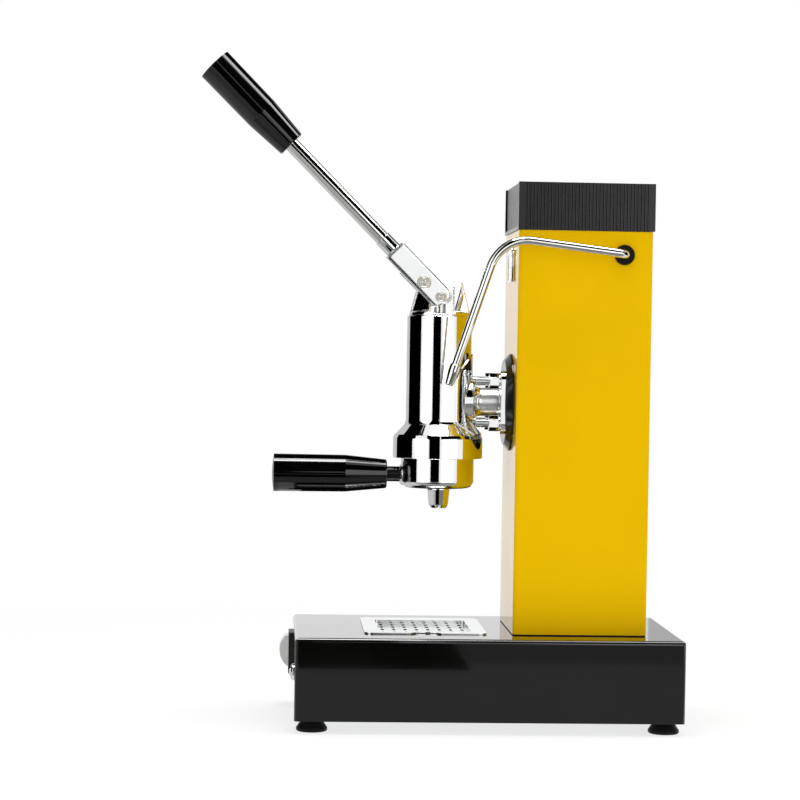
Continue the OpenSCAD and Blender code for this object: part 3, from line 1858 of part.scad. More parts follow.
base_shell();
base_plate();
feet();
foot_screws();
column_shell();
column_seal();
column_brackets();
bracket_screws();
top_cap();
insulating_disc();
group_body();
group_studs();
group_nuts();
cylinder_liner();
group_gasket();
shower_screen();
bonnet();
main_spring();
piston();
piston_seals();
piston_rod();
lever_fork();
fulcrum_pin();
rod_pin();
lever_ferrule();
lever_rod();
lever_grip();
portafilter_body();
filter_basket();
basket_clip();
portafilter_neck();
portafilter_grip();
spout();
boiler();
filler_cap();
heating_element();
safety_valve();
pressure_switch();
steam_valve();
wand_grommet();
wand_pipe();
wand_nozzle();
steam_spindle();
spindle_bush();
steam_knob();
switch_frame();
rocker();
lamp_bezel();
lamp_lens();
tray_frame();
drip_tray();
drip_plate();
mains_inlet();
inlet_pins();
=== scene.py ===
"""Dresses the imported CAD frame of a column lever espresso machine.

Everything is in metres with +Z up. The origin lies on the counter below the axis of
the group, the machine faces -X, and the steam wand hangs on its -Y side.
"""

import logging
import math
from dataclasses import dataclass, field, replace
from enum import Enum

import bmesh
import bpy
from mathutils import Matrix, Vector

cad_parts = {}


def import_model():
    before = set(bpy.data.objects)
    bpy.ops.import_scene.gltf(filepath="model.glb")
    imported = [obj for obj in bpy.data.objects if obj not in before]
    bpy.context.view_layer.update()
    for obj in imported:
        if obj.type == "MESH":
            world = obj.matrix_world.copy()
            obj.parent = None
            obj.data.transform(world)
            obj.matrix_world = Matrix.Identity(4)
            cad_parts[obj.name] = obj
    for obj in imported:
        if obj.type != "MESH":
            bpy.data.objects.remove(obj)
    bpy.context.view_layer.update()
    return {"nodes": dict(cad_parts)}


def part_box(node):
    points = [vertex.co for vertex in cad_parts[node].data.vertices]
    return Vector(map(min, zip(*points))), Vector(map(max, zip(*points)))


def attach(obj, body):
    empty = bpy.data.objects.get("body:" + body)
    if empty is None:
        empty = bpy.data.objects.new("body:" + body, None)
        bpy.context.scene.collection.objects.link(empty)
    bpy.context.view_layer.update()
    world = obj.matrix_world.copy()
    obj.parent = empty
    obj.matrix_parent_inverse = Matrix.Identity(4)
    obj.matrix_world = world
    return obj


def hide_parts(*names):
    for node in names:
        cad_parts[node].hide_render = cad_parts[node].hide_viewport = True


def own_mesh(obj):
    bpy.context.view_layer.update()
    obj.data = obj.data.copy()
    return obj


LOG = logging.getLogger("lever_machine")
MM = 0.001
SHARP_ANGLE = math.radians(30)
WHITE = (1.0, 1.0, 1.0, 1.0)
FLOAT = "NodeSocketFloat"
VECTOR = "NodeSocketVector"

Triple = tuple[float, float, float]
Rgba = tuple[float, float, float, float]


def linear(code: str) -> Rgba:
    """Turns a hex colour into linear light.

    Args:
        code: six hex digits, such as "e9b800".

    Returns:
        Linear red, green, blue and an alpha of 1.
    """
    parts = [int(code[i : i + 2], 16) / 255 for i in (0, 2, 4)]
    red, green, blue = (
        p / 12.92 if p <= 0.04045 else ((p + 0.055) / 1.055) ** 2.4 for p in parts
    )
    return red, green, blue, 1.0


class Sheet:
    """A node tree with short calls that add nodes and join them."""

    def __init__(self, tree: bpy.types.NodeTree) -> None:
        """Keeps the tree and clears it."""
        self.tree = tree
        tree.nodes.clear()

    def add(self, kind: str, **settings: object) -> bpy.types.Node:
        """Adds one node.

        Args:
            kind: the node's type without the ShaderNode prefix.
            settings: attributes of the node, such as data_type.

        Returns:
            The new node.
        """
        node = self.tree.nodes.new("ShaderNode" + kind)
        for name, value in settings.items():
            setattr(node, name, value)
        return node

    def join(self, source: bpy.types.NodeSocket, target: bpy.types.NodeSocket) -> None:
        """Links an output socket to an input socket."""
        self.tree.links.new(source, target)

    def math(self, operation: str, first: object, second: object) -> bpy.types.NodeSocket:
        """Adds a Math node.

        Args:
            operation: the node's operation.
            first: a socket or a number.
            second: a socket or a number.

        Returns:
            The node's output.
        """
        node = self.add("Math", operation=operation, use_clamp=False)
        for socket, value in zip(node.inputs, (first, second)):
            if isinstance(value, bpy.types.NodeSocket):
                self.join(value, socket)
            else:
                socket.default_value = value
        return node.outputs[0]

    def ramp(
        self, value: bpy.types.NodeSocket, low: float, high: float
    ) -> bpy.types.NodeSocket:
        """Stretches the part of a value between low and high to 0..1.

        Args:
            value: the value to stretch.
            low: what becomes 0.
            high: what becomes 1.

        Returns:
            The stretched value, kept between 0 and 1.
        """
        node = self.add("MapRange", clamp=True)
        node.inputs["From Min"].default_value = low
        node.inputs["From Max"].default_value = high
        self.join(value, node.inputs["Value"])
        return node.outputs["Result"]


class Effect(Enum):
    """Surface effects that several finishes share, each a shader node group."""

    PATCHES = "soft_patches"
    GRAIN = "fine_grain"
    HAIRLINES = "hairlines"
    EDGES = "painted_edge_highlight"
    ROUNDING = "rounded_edges"

    def tree(self) -> bpy.types.NodeTree:
        """Gives the effect's node group, and builds it at the first call.

        Returns:
            The node group.
        """
        found = bpy.data.node_groups.get(self.value)
        if found is not None:
            return found
        group = bpy.data.node_groups.new(self.value, "ShaderNodeTree")
        builders = {
            Effect.PATCHES: self._patches,
            Effect.GRAIN: self._grain,
            Effect.HAIRLINES: self._hairlines,
            Effect.EDGES: self._edges,
            Effect.ROUNDING: self._rounding,
        }
        builders[self](group)
        return group

    @staticmethod
    def _sockets(
        group: bpy.types.NodeTree, inputs: list[tuple[str, str, float]], outputs: list[str]
    ) -> tuple[Sheet, bpy.types.Node, bpy.types.Node]:
        """Makes a group's sockets and its two end nodes.

        Args:
            group: the node group.
            inputs: name, socket type and default of each input.
            outputs: name of each output; Normal is a vector and the others are floats.

        Returns:
            The sheet, the input node and the output node.
        """
        for name, kind, default in inputs:
            socket = group.interface.new_socket(name, in_out="INPUT", socket_type=kind)
            if kind == FLOAT:
                socket.default_value = default
        for name in outputs:
            kind = VECTOR if name == "Normal" else FLOAT
            group.interface.new_socket(name, in_out="OUTPUT", socket_type=kind)
        sheet = Sheet(group)
        start = group.nodes.new("NodeGroupInput")
        end = group.nodes.new("NodeGroupOutput")
        return sheet, start, end

    @classmethod
    def _patches(cls, group: bpy.types.NodeTree) -> None:
        """Broad cloudy patches between a low and a high value.

        Args:
            group: the empty node group.
        """
        sheet, start, end = cls._sockets(
            group,
            [
                ("Vector", VECTOR, 0.0),
                ("Scale", FLOAT, 40.0),
                ("Low", FLOAT, 0.1),
                ("High", FLOAT, 0.2),
            ],
            ["Value", "Mask"],
        )
        noise = sheet.add("TexNoise")
        noise.inputs["Detail"].default_value = 3.0
        noise.inputs["Roughness"].default_value = 0.55
        sheet.join(start.outputs["Vector"], noise.inputs["Vector"])
        sheet.join(start.outputs["Scale"], noise.inputs["Scale"])
        mask = sheet.ramp(noise.outputs["Fac"], low=0.32, high=0.68)
        spread = sheet.add("MapRange")
        sheet.join(mask, spread.inputs["Value"])
        sheet.join(start.outputs["Low"], spread.inputs["To Min"])
        sheet.join(start.outputs["High"], spread.inputs["To Max"])
        sheet.join(spread.outputs["Result"], end.inputs["Value"])
        sheet.join(mask, end.inputs["Mask"])

    @classmethod
    def _grain(cls, group: bpy.types.NodeTree) -> None:
        """Fine even relief, soft as the skin of paint or pebbled as moulded plastic.

        Args:
            group: the empty node group.
        """
        sheet, start, end = cls._sockets(
            group,
            [
                ("Vector", VECTOR, 0.0),
                ("Scale", FLOAT, 600.0),
                ("Pebbles", FLOAT, 0.0),
            ],
            ["Height"],
        )
        noise = sheet.add("TexNoise")
        noise.inputs["Detail"].default_value = 1.0
        cells = sheet.add("TexVoronoi", feature="SMOOTH_F1")
        for node in (noise, cells):
            sheet.join(start.outputs["Vector"], node.inputs["Vector"])
            sheet.join(start.outputs["Scale"], node.inputs["Scale"])
        pebbles = start.outputs["Pebbles"]
        soft = sheet.math(
            "MULTIPLY", noise.outputs["Fac"], sheet.math("SUBTRACT", 1.0, pebbles)
        )
        rough = sheet.math("MULTIPLY", cells.outputs["Distance"], pebbles)
        sheet.join(sheet.math("ADD", soft, rough), end.inputs["Height"])

    @classmethod
    def _hairlines(cls, group: bpy.types.NodeTree) -> None:
        """Long fine lines that polishing or brushing leaves in metal.

        Args:
            group: the empty node group.
        """
        sheet, start, end = cls._sockets(
            group,
            [("Vector", VECTOR, 0.0), ("Scale", FLOAT, 900.0)],
            ["Height"],
        )
        noise = sheet.add("TexNoise")
        noise.inputs["Detail"].default_value = 2.0
        sheet.join(start.outputs["Vector"], noise.inputs["Vector"])
        sheet.join(start.outputs["Scale"], noise.inputs["Scale"])
        lines = sheet.ramp(noise.outputs["Fac"], low=0.3, high=0.7)
        sheet.join(lines, end.inputs["Height"])

    @classmethod
    def _edges(cls, group: bpy.types.NodeTree) -> None:
        """A broken mask along sharp edges, where the colour turns to a painted highlight.

        Args:
            group: the empty node group.
        """
        sheet, start, end = cls._sockets(
            group,
            [
                ("Vector", VECTOR, 0.0),
                ("Width", FLOAT, 0.0006),
                ("Breaks", FLOAT, 300.0),
            ],
            ["Mask"],
        )
        bevel = sheet.add("Bevel", samples=4)
        sheet.join(start.outputs["Width"], bevel.inputs["Radius"])
        geometry = sheet.add("NewGeometry")
        turn = sheet.add("VectorMath", operation="DOT_PRODUCT")
        sheet.join(bevel.outputs["Normal"], turn.inputs[0])
        sheet.join(geometry.outputs["True Normal"], turn.inputs[1])
        edge = sheet.ramp(turn.outputs["Value"], low=0.995, high=0.9)
        noise = sheet.add("TexNoise")
        sheet.join(start.outputs["Vector"], noise.inputs["Vector"])
        sheet.join(start.outputs["Breaks"], noise.inputs["Scale"])
        broken = sheet.ramp(noise.outputs["Fac"], low=0.4, high=0.62)
        sheet.join(sheet.math("MULTIPLY", edge, broken), end.inputs["Mask"])

    @classmethod
    def _rounding(cls, group: bpy.types.NodeTree) -> None:
        """A normal that turns gently over sharp edges, as polishing leaves them.

        Args:
            group: the empty node group.
        """
        sheet, start, end = cls._sockets(
            group,
            [("Radius", FLOAT, 0.0006)],
            ["Normal"],
        )
        bevel = sheet.add("Bevel", samples=6)
        sheet.join(start.outputs["Radius"], bevel.inputs["Radius"])
        sheet.join(bevel.outputs["Normal"], end.inputs["Normal"])


class Relief(Enum):
    """What the relief of a finish is like."""

    NONE = "none"
    PEEL = "peel"
    PEBBLES = "pebbles"
    BRUSHED_X = "brushed_x"
    BRUSHED_Z = "brushed_z"

    @property
    def stretch(self) -> Triple:
        """How the pattern is drawn out along each axis."""
        return {
            Relief.BRUSHED_X: (0.03, 1.0, 1.0),
            Relief.BRUSHED_Z: (1.0, 1.0, 0.03),
        }.get(self, (1.0, 1.0, 1.0))

    @property
    def brushed(self) -> bool:
        """True for the two brushed kinds."""
        return self in (Relief.BRUSHED_X, Relief.BRUSHED_Z)


@dataclass(frozen=True)
class Finish:
    """One finish of the machine, as a procedural material.

    The colour leans towards shade in soft patches, and roughness runs between the
    two values of rough. Sizes of patches, relief and rounded edges are in metres.
    A grazing coat grows from nothing to full between two values of the facing angle.
    """

    name: str
    color: str
    shade: str
    metallic: float = 0.0
    rough: tuple[float, float] = (0.2, 0.3)
    patch: float = 0.03
    relief: Relief = Relief.NONE
    relief_size: float = 0.001
    relief_depth: float = 0.00001
    coat: float = 0.0
    coat_rough: float = 0.03
    specular: float = 0.5
    # Colour of a painted highlight along sharp edges, in broken patches.
    edge: str = ""
    edge_width: float = 0.0006
    transmission: float = 0.0
    grazing_coat: float = 0.0
    grazing_from: float = 0.55
    grazing_to: float = 0.92
    round_edge: float = 0.0

    def material(self) -> bpy.types.Material:
        """Gives the finish's material, and builds it at the first call.

        Returns:
            The material.
        """
        found = bpy.data.materials.get(self.name)
        if found is not None:
            return found
        material = bpy.data.materials.new(self.name)
        material.use_nodes = True
        material.diffuse_color = linear(self.color)
        sheet = Sheet(material.node_tree)
        shader = sheet.add("BsdfPrincipled")
        shader.inputs["Metallic"].default_value = self.metallic
        shader.inputs["Coat Weight"].default_value = self.coat
        shader.inputs["Coat Roughness"].default_value = self.coat_rough
        shader.inputs["Specular IOR Level"].default_value = self.specular
        shader.inputs["Transmission Weight"].default_value = self.transmission
        place = sheet.add("TexCoord").outputs["Object"]
        patches = self._group(sheet, Effect.PATCHES, place, Scale=1 / self.patch)
        patches.inputs["Low"].default_value, patches.inputs["High"].default_value = self.rough
        sheet.join(
            self._satin(sheet, place, patches.outputs["Value"]), shader.inputs["Roughness"]
        )
        color = self._blend(
            sheet, patches.outputs["Mask"], linear(self.color), linear(self.shade)
        )
        # Painted highlight: along sharp edges the colour leans towards the edge colour.
        if self.edge:
            edges = self._group(sheet, Effect.EDGES, place, Width=self.edge_width)
            color = self._blend(sheet, edges.outputs["Mask"], color, linear(self.edge))
        if self.grazing_coat:
            facing = sheet.add("LayerWeight").outputs["Facing"]
            weight = sheet.ramp(facing, self.grazing_from, self.grazing_to)
            sheet.join(
                sheet.math("MULTIPLY", weight, self.grazing_coat), shader.inputs["Coat Weight"]
            )
        sheet.join(color, shader.inputs["Base Color"])
        normal = None
        if self.round_edge:
            rounding = self._group(sheet, Effect.ROUNDING, None, Radius=self.round_edge)
            normal = rounding.outputs["Normal"]
        if self.relief is not Relief.NONE:
            normal = self._bump(sheet, place, normal)
        if normal is not None:
            sheet.join(normal, shader.inputs["Normal"])
        sheet.join(shader.outputs["BSDF"], sheet.add("OutputMaterial").inputs["Surface"])
        return material

    def _satin(
        self, sheet: Sheet, place: bpy.types.NodeSocket, rough: bpy.types.NodeSocket
    ) -> bpy.types.NodeSocket:
        """Gives the roughness back as it is; a subclass makes a finish rougher in one place.

        Args:
            sheet: the material's sheet; not used here.
            place: the object coordinates; not used here.
            rough: the patchy roughness.

        Returns:
            The roughness to go on with.
        """
        return rough

    @staticmethod
    def _group(
        sheet: Sheet, effect: Effect, place: bpy.types.NodeSocket | None, **values: float
    ) -> bpy.types.Node:
        """Places an effect's group.

        Args:
            sheet: the material's sheet.
            effect: the effect.
            place: the coordinates it reads, or None where it reads none.
            values: its input values.

        Returns:
            The group node.
        """
        node = sheet.add("Group", node_tree=effect.tree())
        if place is not None:
            sheet.join(place, node.inputs["Vector"])
        for name, value in values.items():
            node.inputs[name].default_value = value
        return node

    @staticmethod
    def _blend(
        sheet: Sheet, mask: bpy.types.NodeSocket, first: object, second: object
    ) -> bpy.types.NodeSocket:
        """Mixes two colours by a mask.

        Args:
            sheet: the material's sheet.
            mask: 0 gives the first colour and 1 the second.
            first: a colour or a socket.
            second: a colour or a socket.

        Returns:
            The mixed colour.
        """
        mix = sheet.add("Mix", data_type="RGBA")
        sheet.join(mask, mix.inputs["Factor"])
        for socket, value in ((mix.inputs[6], first), (mix.inputs[7], second)):
            if isinstance(value, bpy.types.NodeSocket):
                sheet.join(value, socket)
            else:
                socket.default_value = value
        return mix.outputs[2]

    def _bump(
        self, sheet: Sheet, place: bpy.types.NodeSocket, normal: bpy.types.NodeSocket | None
    ) -> bpy.types.NodeSocket:
        """Adds the relief.

        Args:
            sheet: the material's sheet.
            place: the coordinates that the relief reads.
            normal: the rounded normal under the relief, if there is one.

        Returns:
            The bumped normal.
        """
        scale = 1 / self.relief_size
        if self.relief.brushed:
            mapping = sheet.add("Mapping")
            mapping.inputs["Scale"].default_value = self.relief.stretch
            sheet.join(place, mapping.inputs["Vector"])
            grain = self._group(
                sheet, Effect.HAIRLINES, mapping.outputs["Vector"], Scale=scale
            )
        else:
            pebbles = 1.0 if self.relief is Relief.PEBBLES else 0.0
            grain = self._group(sheet, Effect.GRAIN, place, Scale=scale, Pebbles=pebbles)
        bump = sheet.add("Bump")
        bump.inputs["Strength"].default_value = 1.0
        bump.inputs["Distance"].default_value = self.relief_depth
        sheet.join(grain.outputs["Height"], bump.inputs["Height"])
        if normal is not None:
            sheet.join(normal, bump.inputs["Normal"])
        return bump.outputs["Normal"]


@dataclass(frozen=True)
class NeckFinish(Finish):
    """A polished finish that stays satin on a neck along X, where no wheel reaches.

    Places are in metres: the neck runs from start to stop at the height level, and
    the satin ends reach away from its axis.
    """

    satin: float = 0.3
    start: float = 0.03
    stop: float = 0.05
    level: float = 0.2
    reach: float = 0.012

    def _satin(
        self, sheet: Sheet, place: bpy.types.NodeSocket, rough: bpy.types.NodeSocket
    ) -> bpy.types.NodeSocket:
        """Raises the roughness on the neck.

        Args:
            sheet: the material's sheet.
            place: the object coordinates.
            rough: the patchy roughness.

        Returns:
            The roughness of the polished part and of the neck.
        """
        axes = sheet.add("SeparateXYZ")
        sheet.join(place, axes.inputs["Vector"])
        height = sheet.math("SUBTRACT", axes.outputs["Z"], self.level)
        away = sheet.math(
            "SQRT",
            sheet.math(
                "ADD",
                sheet.math("MULTIPLY", height, height),
                sheet.math("MULTIPLY", axes.outputs["Y"], axes.outputs["Y"]),
            ),
            0.0,
        )
        near = sheet.math("LESS_THAN", away, self.reach)
        after = sheet.math("GREATER_THAN", axes.outputs["X"], self.start)
        before = sheet.math("LESS_THAN", axes.outputs["X"], self.stop)
        mask = sheet.math("MULTIPLY", near, sheet.math("MULTIPLY", after, before))
        return sheet.math("ADD", rough, sheet.math("MULTIPLY", mask, self.satin))


# The edge colours below are painted highlights along sharp edges.
YELLOW_GLOSS = Finish(
    "yellow_gloss_paint", "ecbc01", "e8b800", rough=(0.2, 0.28), patch=0.09,
    relief=Relief.PEEL, relief_size=0.0022, relief_depth=0.000003, specular=0.02,
    grazing_coat=0.9, edge="f2c818", edge_width=0.0005,
)
BLACK_GLOSS = Finish(
    "black_gloss_paint", "070706", "0b0b0a", rough=(0.05, 0.09), patch=0.08,
    relief=Relief.PEEL, relief_size=0.0026, relief_depth=0.000002, coat=0.6, edge="2a2a28",
)
CHROME = Finish(
    "mirror_chrome", "f4f5f5", "eceeee", metallic=1.0, rough=(0.02, 0.05), patch=0.025,
    round_edge=0.0009,
)
NECKED_CHROME = NeckFinish(
    "necked_chrome", "f4f5f5", "eceeee", metallic=1.0, rough=(0.02, 0.05), patch=0.025,
    round_edge=0.0009, satin=0.28, start=0.0318, stop=0.0455, level=0.2446, reach=0.0116,
)
BRIGHT_STEEL = Finish(
    "bright_steel", "d9dbdb", "c6c9ca", metallic=1.0, rough=(0.12, 0.2), patch=0.006,
    relief=Relief.BRUSHED_Z, relief_size=0.0005, relief_depth=0.000004,
)
ROD_STEEL = Finish(
    "rod_steel", "f2f2ef", "e8e8e4", metallic=1.0, rough=(0.06, 0.1), patch=0.02,
)
WAND_CHROME = Finish(
    "wand_chrome", "e6e6e2", "dcdcd8", metallic=1.0, rough=(0.03, 0.06), patch=0.02,
    round_edge=0.0005,
)
ROUNDED_CHROME = replace(CHROME, name="rounded_chrome", round_edge=0.0024)
PIN_STEEL = Finish(
    "turned_pin_steel", "f0efe8", "e0ded6", metallic=1.0, rough=(0.38, 0.5), patch=0.003,
    relief=Relief.PEEL, relief_size=0.0006, relief_depth=0.000001,
)
ZINC = Finish(
    "zinc_plate", "b9bdc0", "9ea3a7", metallic=1.0, rough=(0.28, 0.42), patch=0.008,
    relief=Relief.PEBBLES, relief_size=0.004, relief_depth=0.00001,
)
BRUSHED = Finish(
    "brushed_steel", "c9cccd", "b3b7b9", metallic=1.0, rough=(0.2, 0.32), patch=0.02,
    relief=Relief.BRUSHED_X, relief_size=0.0006, relief_depth=0.00001,
)
POLISHED = Finish(
    "polished_steel", "e6e7e7", "dcdedf", metallic=1.0, rough=(0.06, 0.12), patch=0.02,
    relief=Relief.BRUSHED_X, relief_size=0.0007, relief_depth=0.000002,
)
SATIN_STEEL = Finish(
    "satin_steel", "f0f1f1", "e8eaea", metallic=1.0, rough=(0.13, 0.19), patch=0.02,
    relief=Relief.BRUSHED_X, relief_size=0.0007, relief_depth=0.000002,
)
BRASS = Finish(
    "turned_brass", "c79e46", "a8813a", metallic=1.0, rough=(0.18, 0.32), patch=0.01,
    relief=Relief.BRUSHED_Z, relief_size=0.0006, relief_depth=0.000006, edge="e3c37a",
)
COPPER = Finish(
    "boiler_copper", "b56f47", "8f5238", metallic=1.0, rough=(0.22, 0.4), patch=0.03,
    relief=Relief.PEBBLES, relief_size=0.012, relief_depth=0.00004,
)
BAKELITE = Finish(
    "black_bakelite", "030303", "050505", rough=(0.04, 0.08), patch=0.018,
    relief=Relief.PEEL, relief_size=0.004, relief_depth=0.000002, specular=0.62, edge="141413",
)
CAP_PLASTIC = Finish(
    "ribbed_cap_plastic", "070807", "0b0c0a", rough=(0.17, 0.22), patch=0.012, specular=0.36,
    relief=Relief.PEBBLES, relief_size=0.0009, relief_depth=0.000003, edge="232422",
)
BLACK_PLASTIC = Finish(
    "black_moulded_plastic", "0e0f0d", "151613", rough=(0.3, 0.42), patch=0.012,
    relief=Relief.PEBBLES, relief_size=0.0009, relief_depth=0.00002, edge="2e2f2c",
)
PHENOLIC = Finish(
    "phenolic_disc", "0a0a09", "111110", rough=(0.12, 0.2), patch=0.01,
    relief=Relief.PEBBLES, relief_size=0.0007, relief_depth=0.000003, edge="242423",
    round_edge=0.0006,
)
RUBBER = Finish(
    "black_rubber", "060606", "0b0b0b", rough=(0.36, 0.5), patch=0.006, specular=0.15,
    relief=Relief.PEBBLES, relief_size=0.0006, relief_depth=0.00002, edge="1c1c1c",
)
BLACK_SATIN = Finish(
    "black_satin_neck", "050505", "0a0a0a", rough=(0.25, 0.35), patch=0.006, specular=0.3,
    relief=Relief.PEEL, relief_size=0.001, relief_depth=0.00001,
)
GREY_PLASTIC = Finish(
    "grey_rocker_plastic", "e6e6e4", "dededb", rough=(0.24, 0.34), patch=0.01,
    relief=Relief.PEBBLES, relief_size=0.0008, relief_depth=0.00001, edge="e4e4e2",
)
FROSTED = Finish(
    "frosted_lens", "e6e4dd", "d8d6ce", rough=(0.12, 0.2), patch=0.003, coat=0.5,
    relief=Relief.PEBBLES, relief_size=0.0012, relief_depth=0.00004, transmission=0.25,
)
NICKEL = Finish(
    "nickel_pin", "d5d0c4", "bdb8ac", metallic=1.0, rough=(0.18, 0.28), patch=0.004,
    relief=Relief.BRUSHED_X, relief_size=0.0004, relief_depth=0.000004,
)


def block(size: Vector, middle: Vector) -> bmesh.types.BMesh:
    """Starts a shape as an upright box.

    Args:
        size: its length along each axis.
        middle: the point it is centred on.

    Returns:
        The shape.
    """
    shape = bmesh.new()
    bmesh.ops.create_cube(shape, size=1.0)
    bmesh.ops.scale(shape, vec=size, verts=shape.verts)
    bmesh.ops.translate(shape, vec=middle, verts=shape.verts)
    return shape


def round_off(
    shape: bmesh.types.BMesh, edges: list[bmesh.types.BMEdge], offset: float, segments: int
) -> None:
    """Rounds some edges of a shape.

    Args:
        shape: the shape.
        edges: the edges to round.
        offset: how far from the edge the rounding starts.
        segments: how many steps it has.
    """
    bmesh.ops.bevel(
        shape, geom=edges, offset=offset, affect="EDGES", segments=segments, profile=0.5,
        material=-1,
    )


def object_from(
    shape: bmesh.types.BMesh, name: str, material: bpy.types.Material
) -> bpy.types.Object:
    """Turns a bmesh into an object of the scene.

    Args:
        shape: the shape, in the machine's own frame; it is freed.
        name: the object's name.
        material: its material.

    Returns:
        The object.
    """
    mesh = bpy.data.meshes.new(name)
    shape.to_mesh(mesh)
    shape.free()
    mesh.materials.append(material)
    made = bpy.data.objects.new(name, mesh)
    bpy.context.scene.collection.objects.link(made)
    return made


def piece_from(
    shape: bmesh.types.BMesh, name: str, body: str, finish: Finish
) -> bpy.types.Object:
    """Turns a bmesh into a piece that rides on a body.

    Args:
        shape: the shape, in the machine's own frame; it is freed.
        name: the piece's name.
        body: the CAD body that it rides on.
        finish: its finish.

    Returns:
        The piece.
    """
    piece = object_from(shape, name, finish.material())
    piece.data.shade_smooth()
    piece.data.set_sharp_from_angle(angle=SHARP_ANGLE)
    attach(piece, body)
    return piece


@dataclass
class Assembly:
    """CAD nodes that belong together, and the pieces that Blender adds to them."""

    title: str
    finishes: dict[str, Finish]

    def dress(self, nodes: dict[str, bpy.types.Object]) -> None:
        """Gives each node its finish.

        Args:
            nodes: the frame's nodes by name.
        """
        for name, finish in self.finishes.items():
            mesh = nodes[name].data
            mesh.materials.clear()
            mesh.materials.append(finish.material())
            LOG.info("%s: %s in %s", self.title, name, finish.name)

    def build(self) -> list[bpy.types.Object]:
        """Makes the assembly's own pieces; most have none."""
        return []


@dataclass
class BaseBox(Assembly):
    """The base, its bottom plate and its feet."""

    title: str = "base"
    finishes: dict[str, Finish] = field(
        default_factory=lambda: {
            "base_shell": BLACK_GLOSS,
            "base_plate": ZINC,
            "feet": RUBBER,
            "foot_screws": ZINC,
        }
    )


@dataclass
class Column(Assembly):
    """The square column with its cap, the cap's ribbed panels and a bare badge plate."""

    title: str = "column"
    finishes: dict[str, Finish] = field(
        default_factory=lambda: {
            "column_shell": YELLOW_GLOSS,
            "column_seal": RUBBER,
            "column_brackets": ZINC,
            "bracket_screws": ZINC,
            "top_cap": CAP_PLASTIC,
        }
    )
    badge_drop: float = 24.9 * MM
    badge_w: float = 26 * MM
    badge_h: float = 25.5 * MM
    badge_t: float = 2 * MM
    badge_round: float = 1.6 * MM
    badge_border: float = 0.8 * MM
    badge_sink: float = 0.35 * MM
    corner_steps: int = 6
    rim_steps: int = 3
    panel_gap: float = 1.2 * MM
    panel_back: float = 5.75 * MM
    panel_side: float = 3.7 * MM
    panel_foot: float = 7.7 * MM
    rib_pitch: float = 2.6 * MM
    rib_land: float = 0.52 * MM
    rib_depth: float = 0.12 * MM

    def build(self) -> list[bpy.types.Object]:
        """Makes the badge plate and the panels in the cap's front and back.

        Returns:
            The plate and the two panels.
        """
        return [self._badge(), self._panel("front", 1.0), self._panel("back", -1.0)]

    def _panel(self, name: str, inward: float) -> bpy.types.Object:
        """Makes one upright ribbed panel, just inside the cap's edge.

        Args:
            name: which end of the cap.
            inward: the way along X from that end into the cap.

        Returns:
            The panel.
        """
        low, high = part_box("top_cap")
        edge = low.x if inward > 0 else high.x
        foot = low.z + self.panel_foot
        size = Vector(
            (
                self.panel_back - self.panel_gap,
                high.y - low.y - 2 * self.panel_side,
                high.z - foot - self.rib_depth,
            )
        )
        middle = edge + inward * (self.panel_back + self.panel_gap) / 2
        shape = block(size, Vector((middle, 0.0, foot + size.z / 2)))
        across = [e for e in shape.edges if abs(e.verts[0].co.y - e.verts[1].co.y) > size.y / 2]
        bmesh.ops.subdivide_edges(
            shape, edges=across, cuts=round(size.y / self.rib_pitch) - 1, use_grid_fill=True
        )
        bmesh.ops.recalc_face_normals(shape, faces=shape.faces)
        outer = [f for f in shape.faces if f.normal.x * inward < -0.9]
        bmesh.ops.inset_individual(
            shape, faces=outer, thickness=self.rib_land, depth=self.rib_depth
        )
        return piece_from(shape, f"cap_panel_{name}", "cap", CAP_PLASTIC)

    def _badge(self) -> bpy.types.Object:
        """Makes the badge plate: a raised plate with a border round a bare field.

        Returns:
            The plate.
        """
        low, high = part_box("column_shell")
        shape = block(
            Vector((self.badge_t, self.badge_w, self.badge_h)),
            Vector((low.x - self.badge_t / 2, 0.0, high.z - self.badge_drop)),
        )
        corners = [
            e for e in shape.edges if abs(e.verts[0].co.x - e.verts[1].co.x) > self.badge_t / 2
        ]
        round_off(shape, corners, self.badge_round, self.corner_steps)
        front = min(shape.faces, key=lambda f: f.calc_center_median().x)
        round_off(shape, list(front.edges), self.badge_sink, self.rim_steps)
        front = min(
            shape.faces, key=lambda f: (round(f.calc_center_median().x, 6), -f.calc_area())
        )
        bmesh.ops.inset_region(shape, faces=[front], thickness=self.badge_border)
        bmesh.ops.inset_region(
            shape, faces=[front], thickness=self.badge_sink, depth=-self.badge_sink
        )
        bmesh.ops.recalc_face_normals(shape, faces=shape.faces)
        return piece_from(shape, "badge_plate", "machine", CHROME)


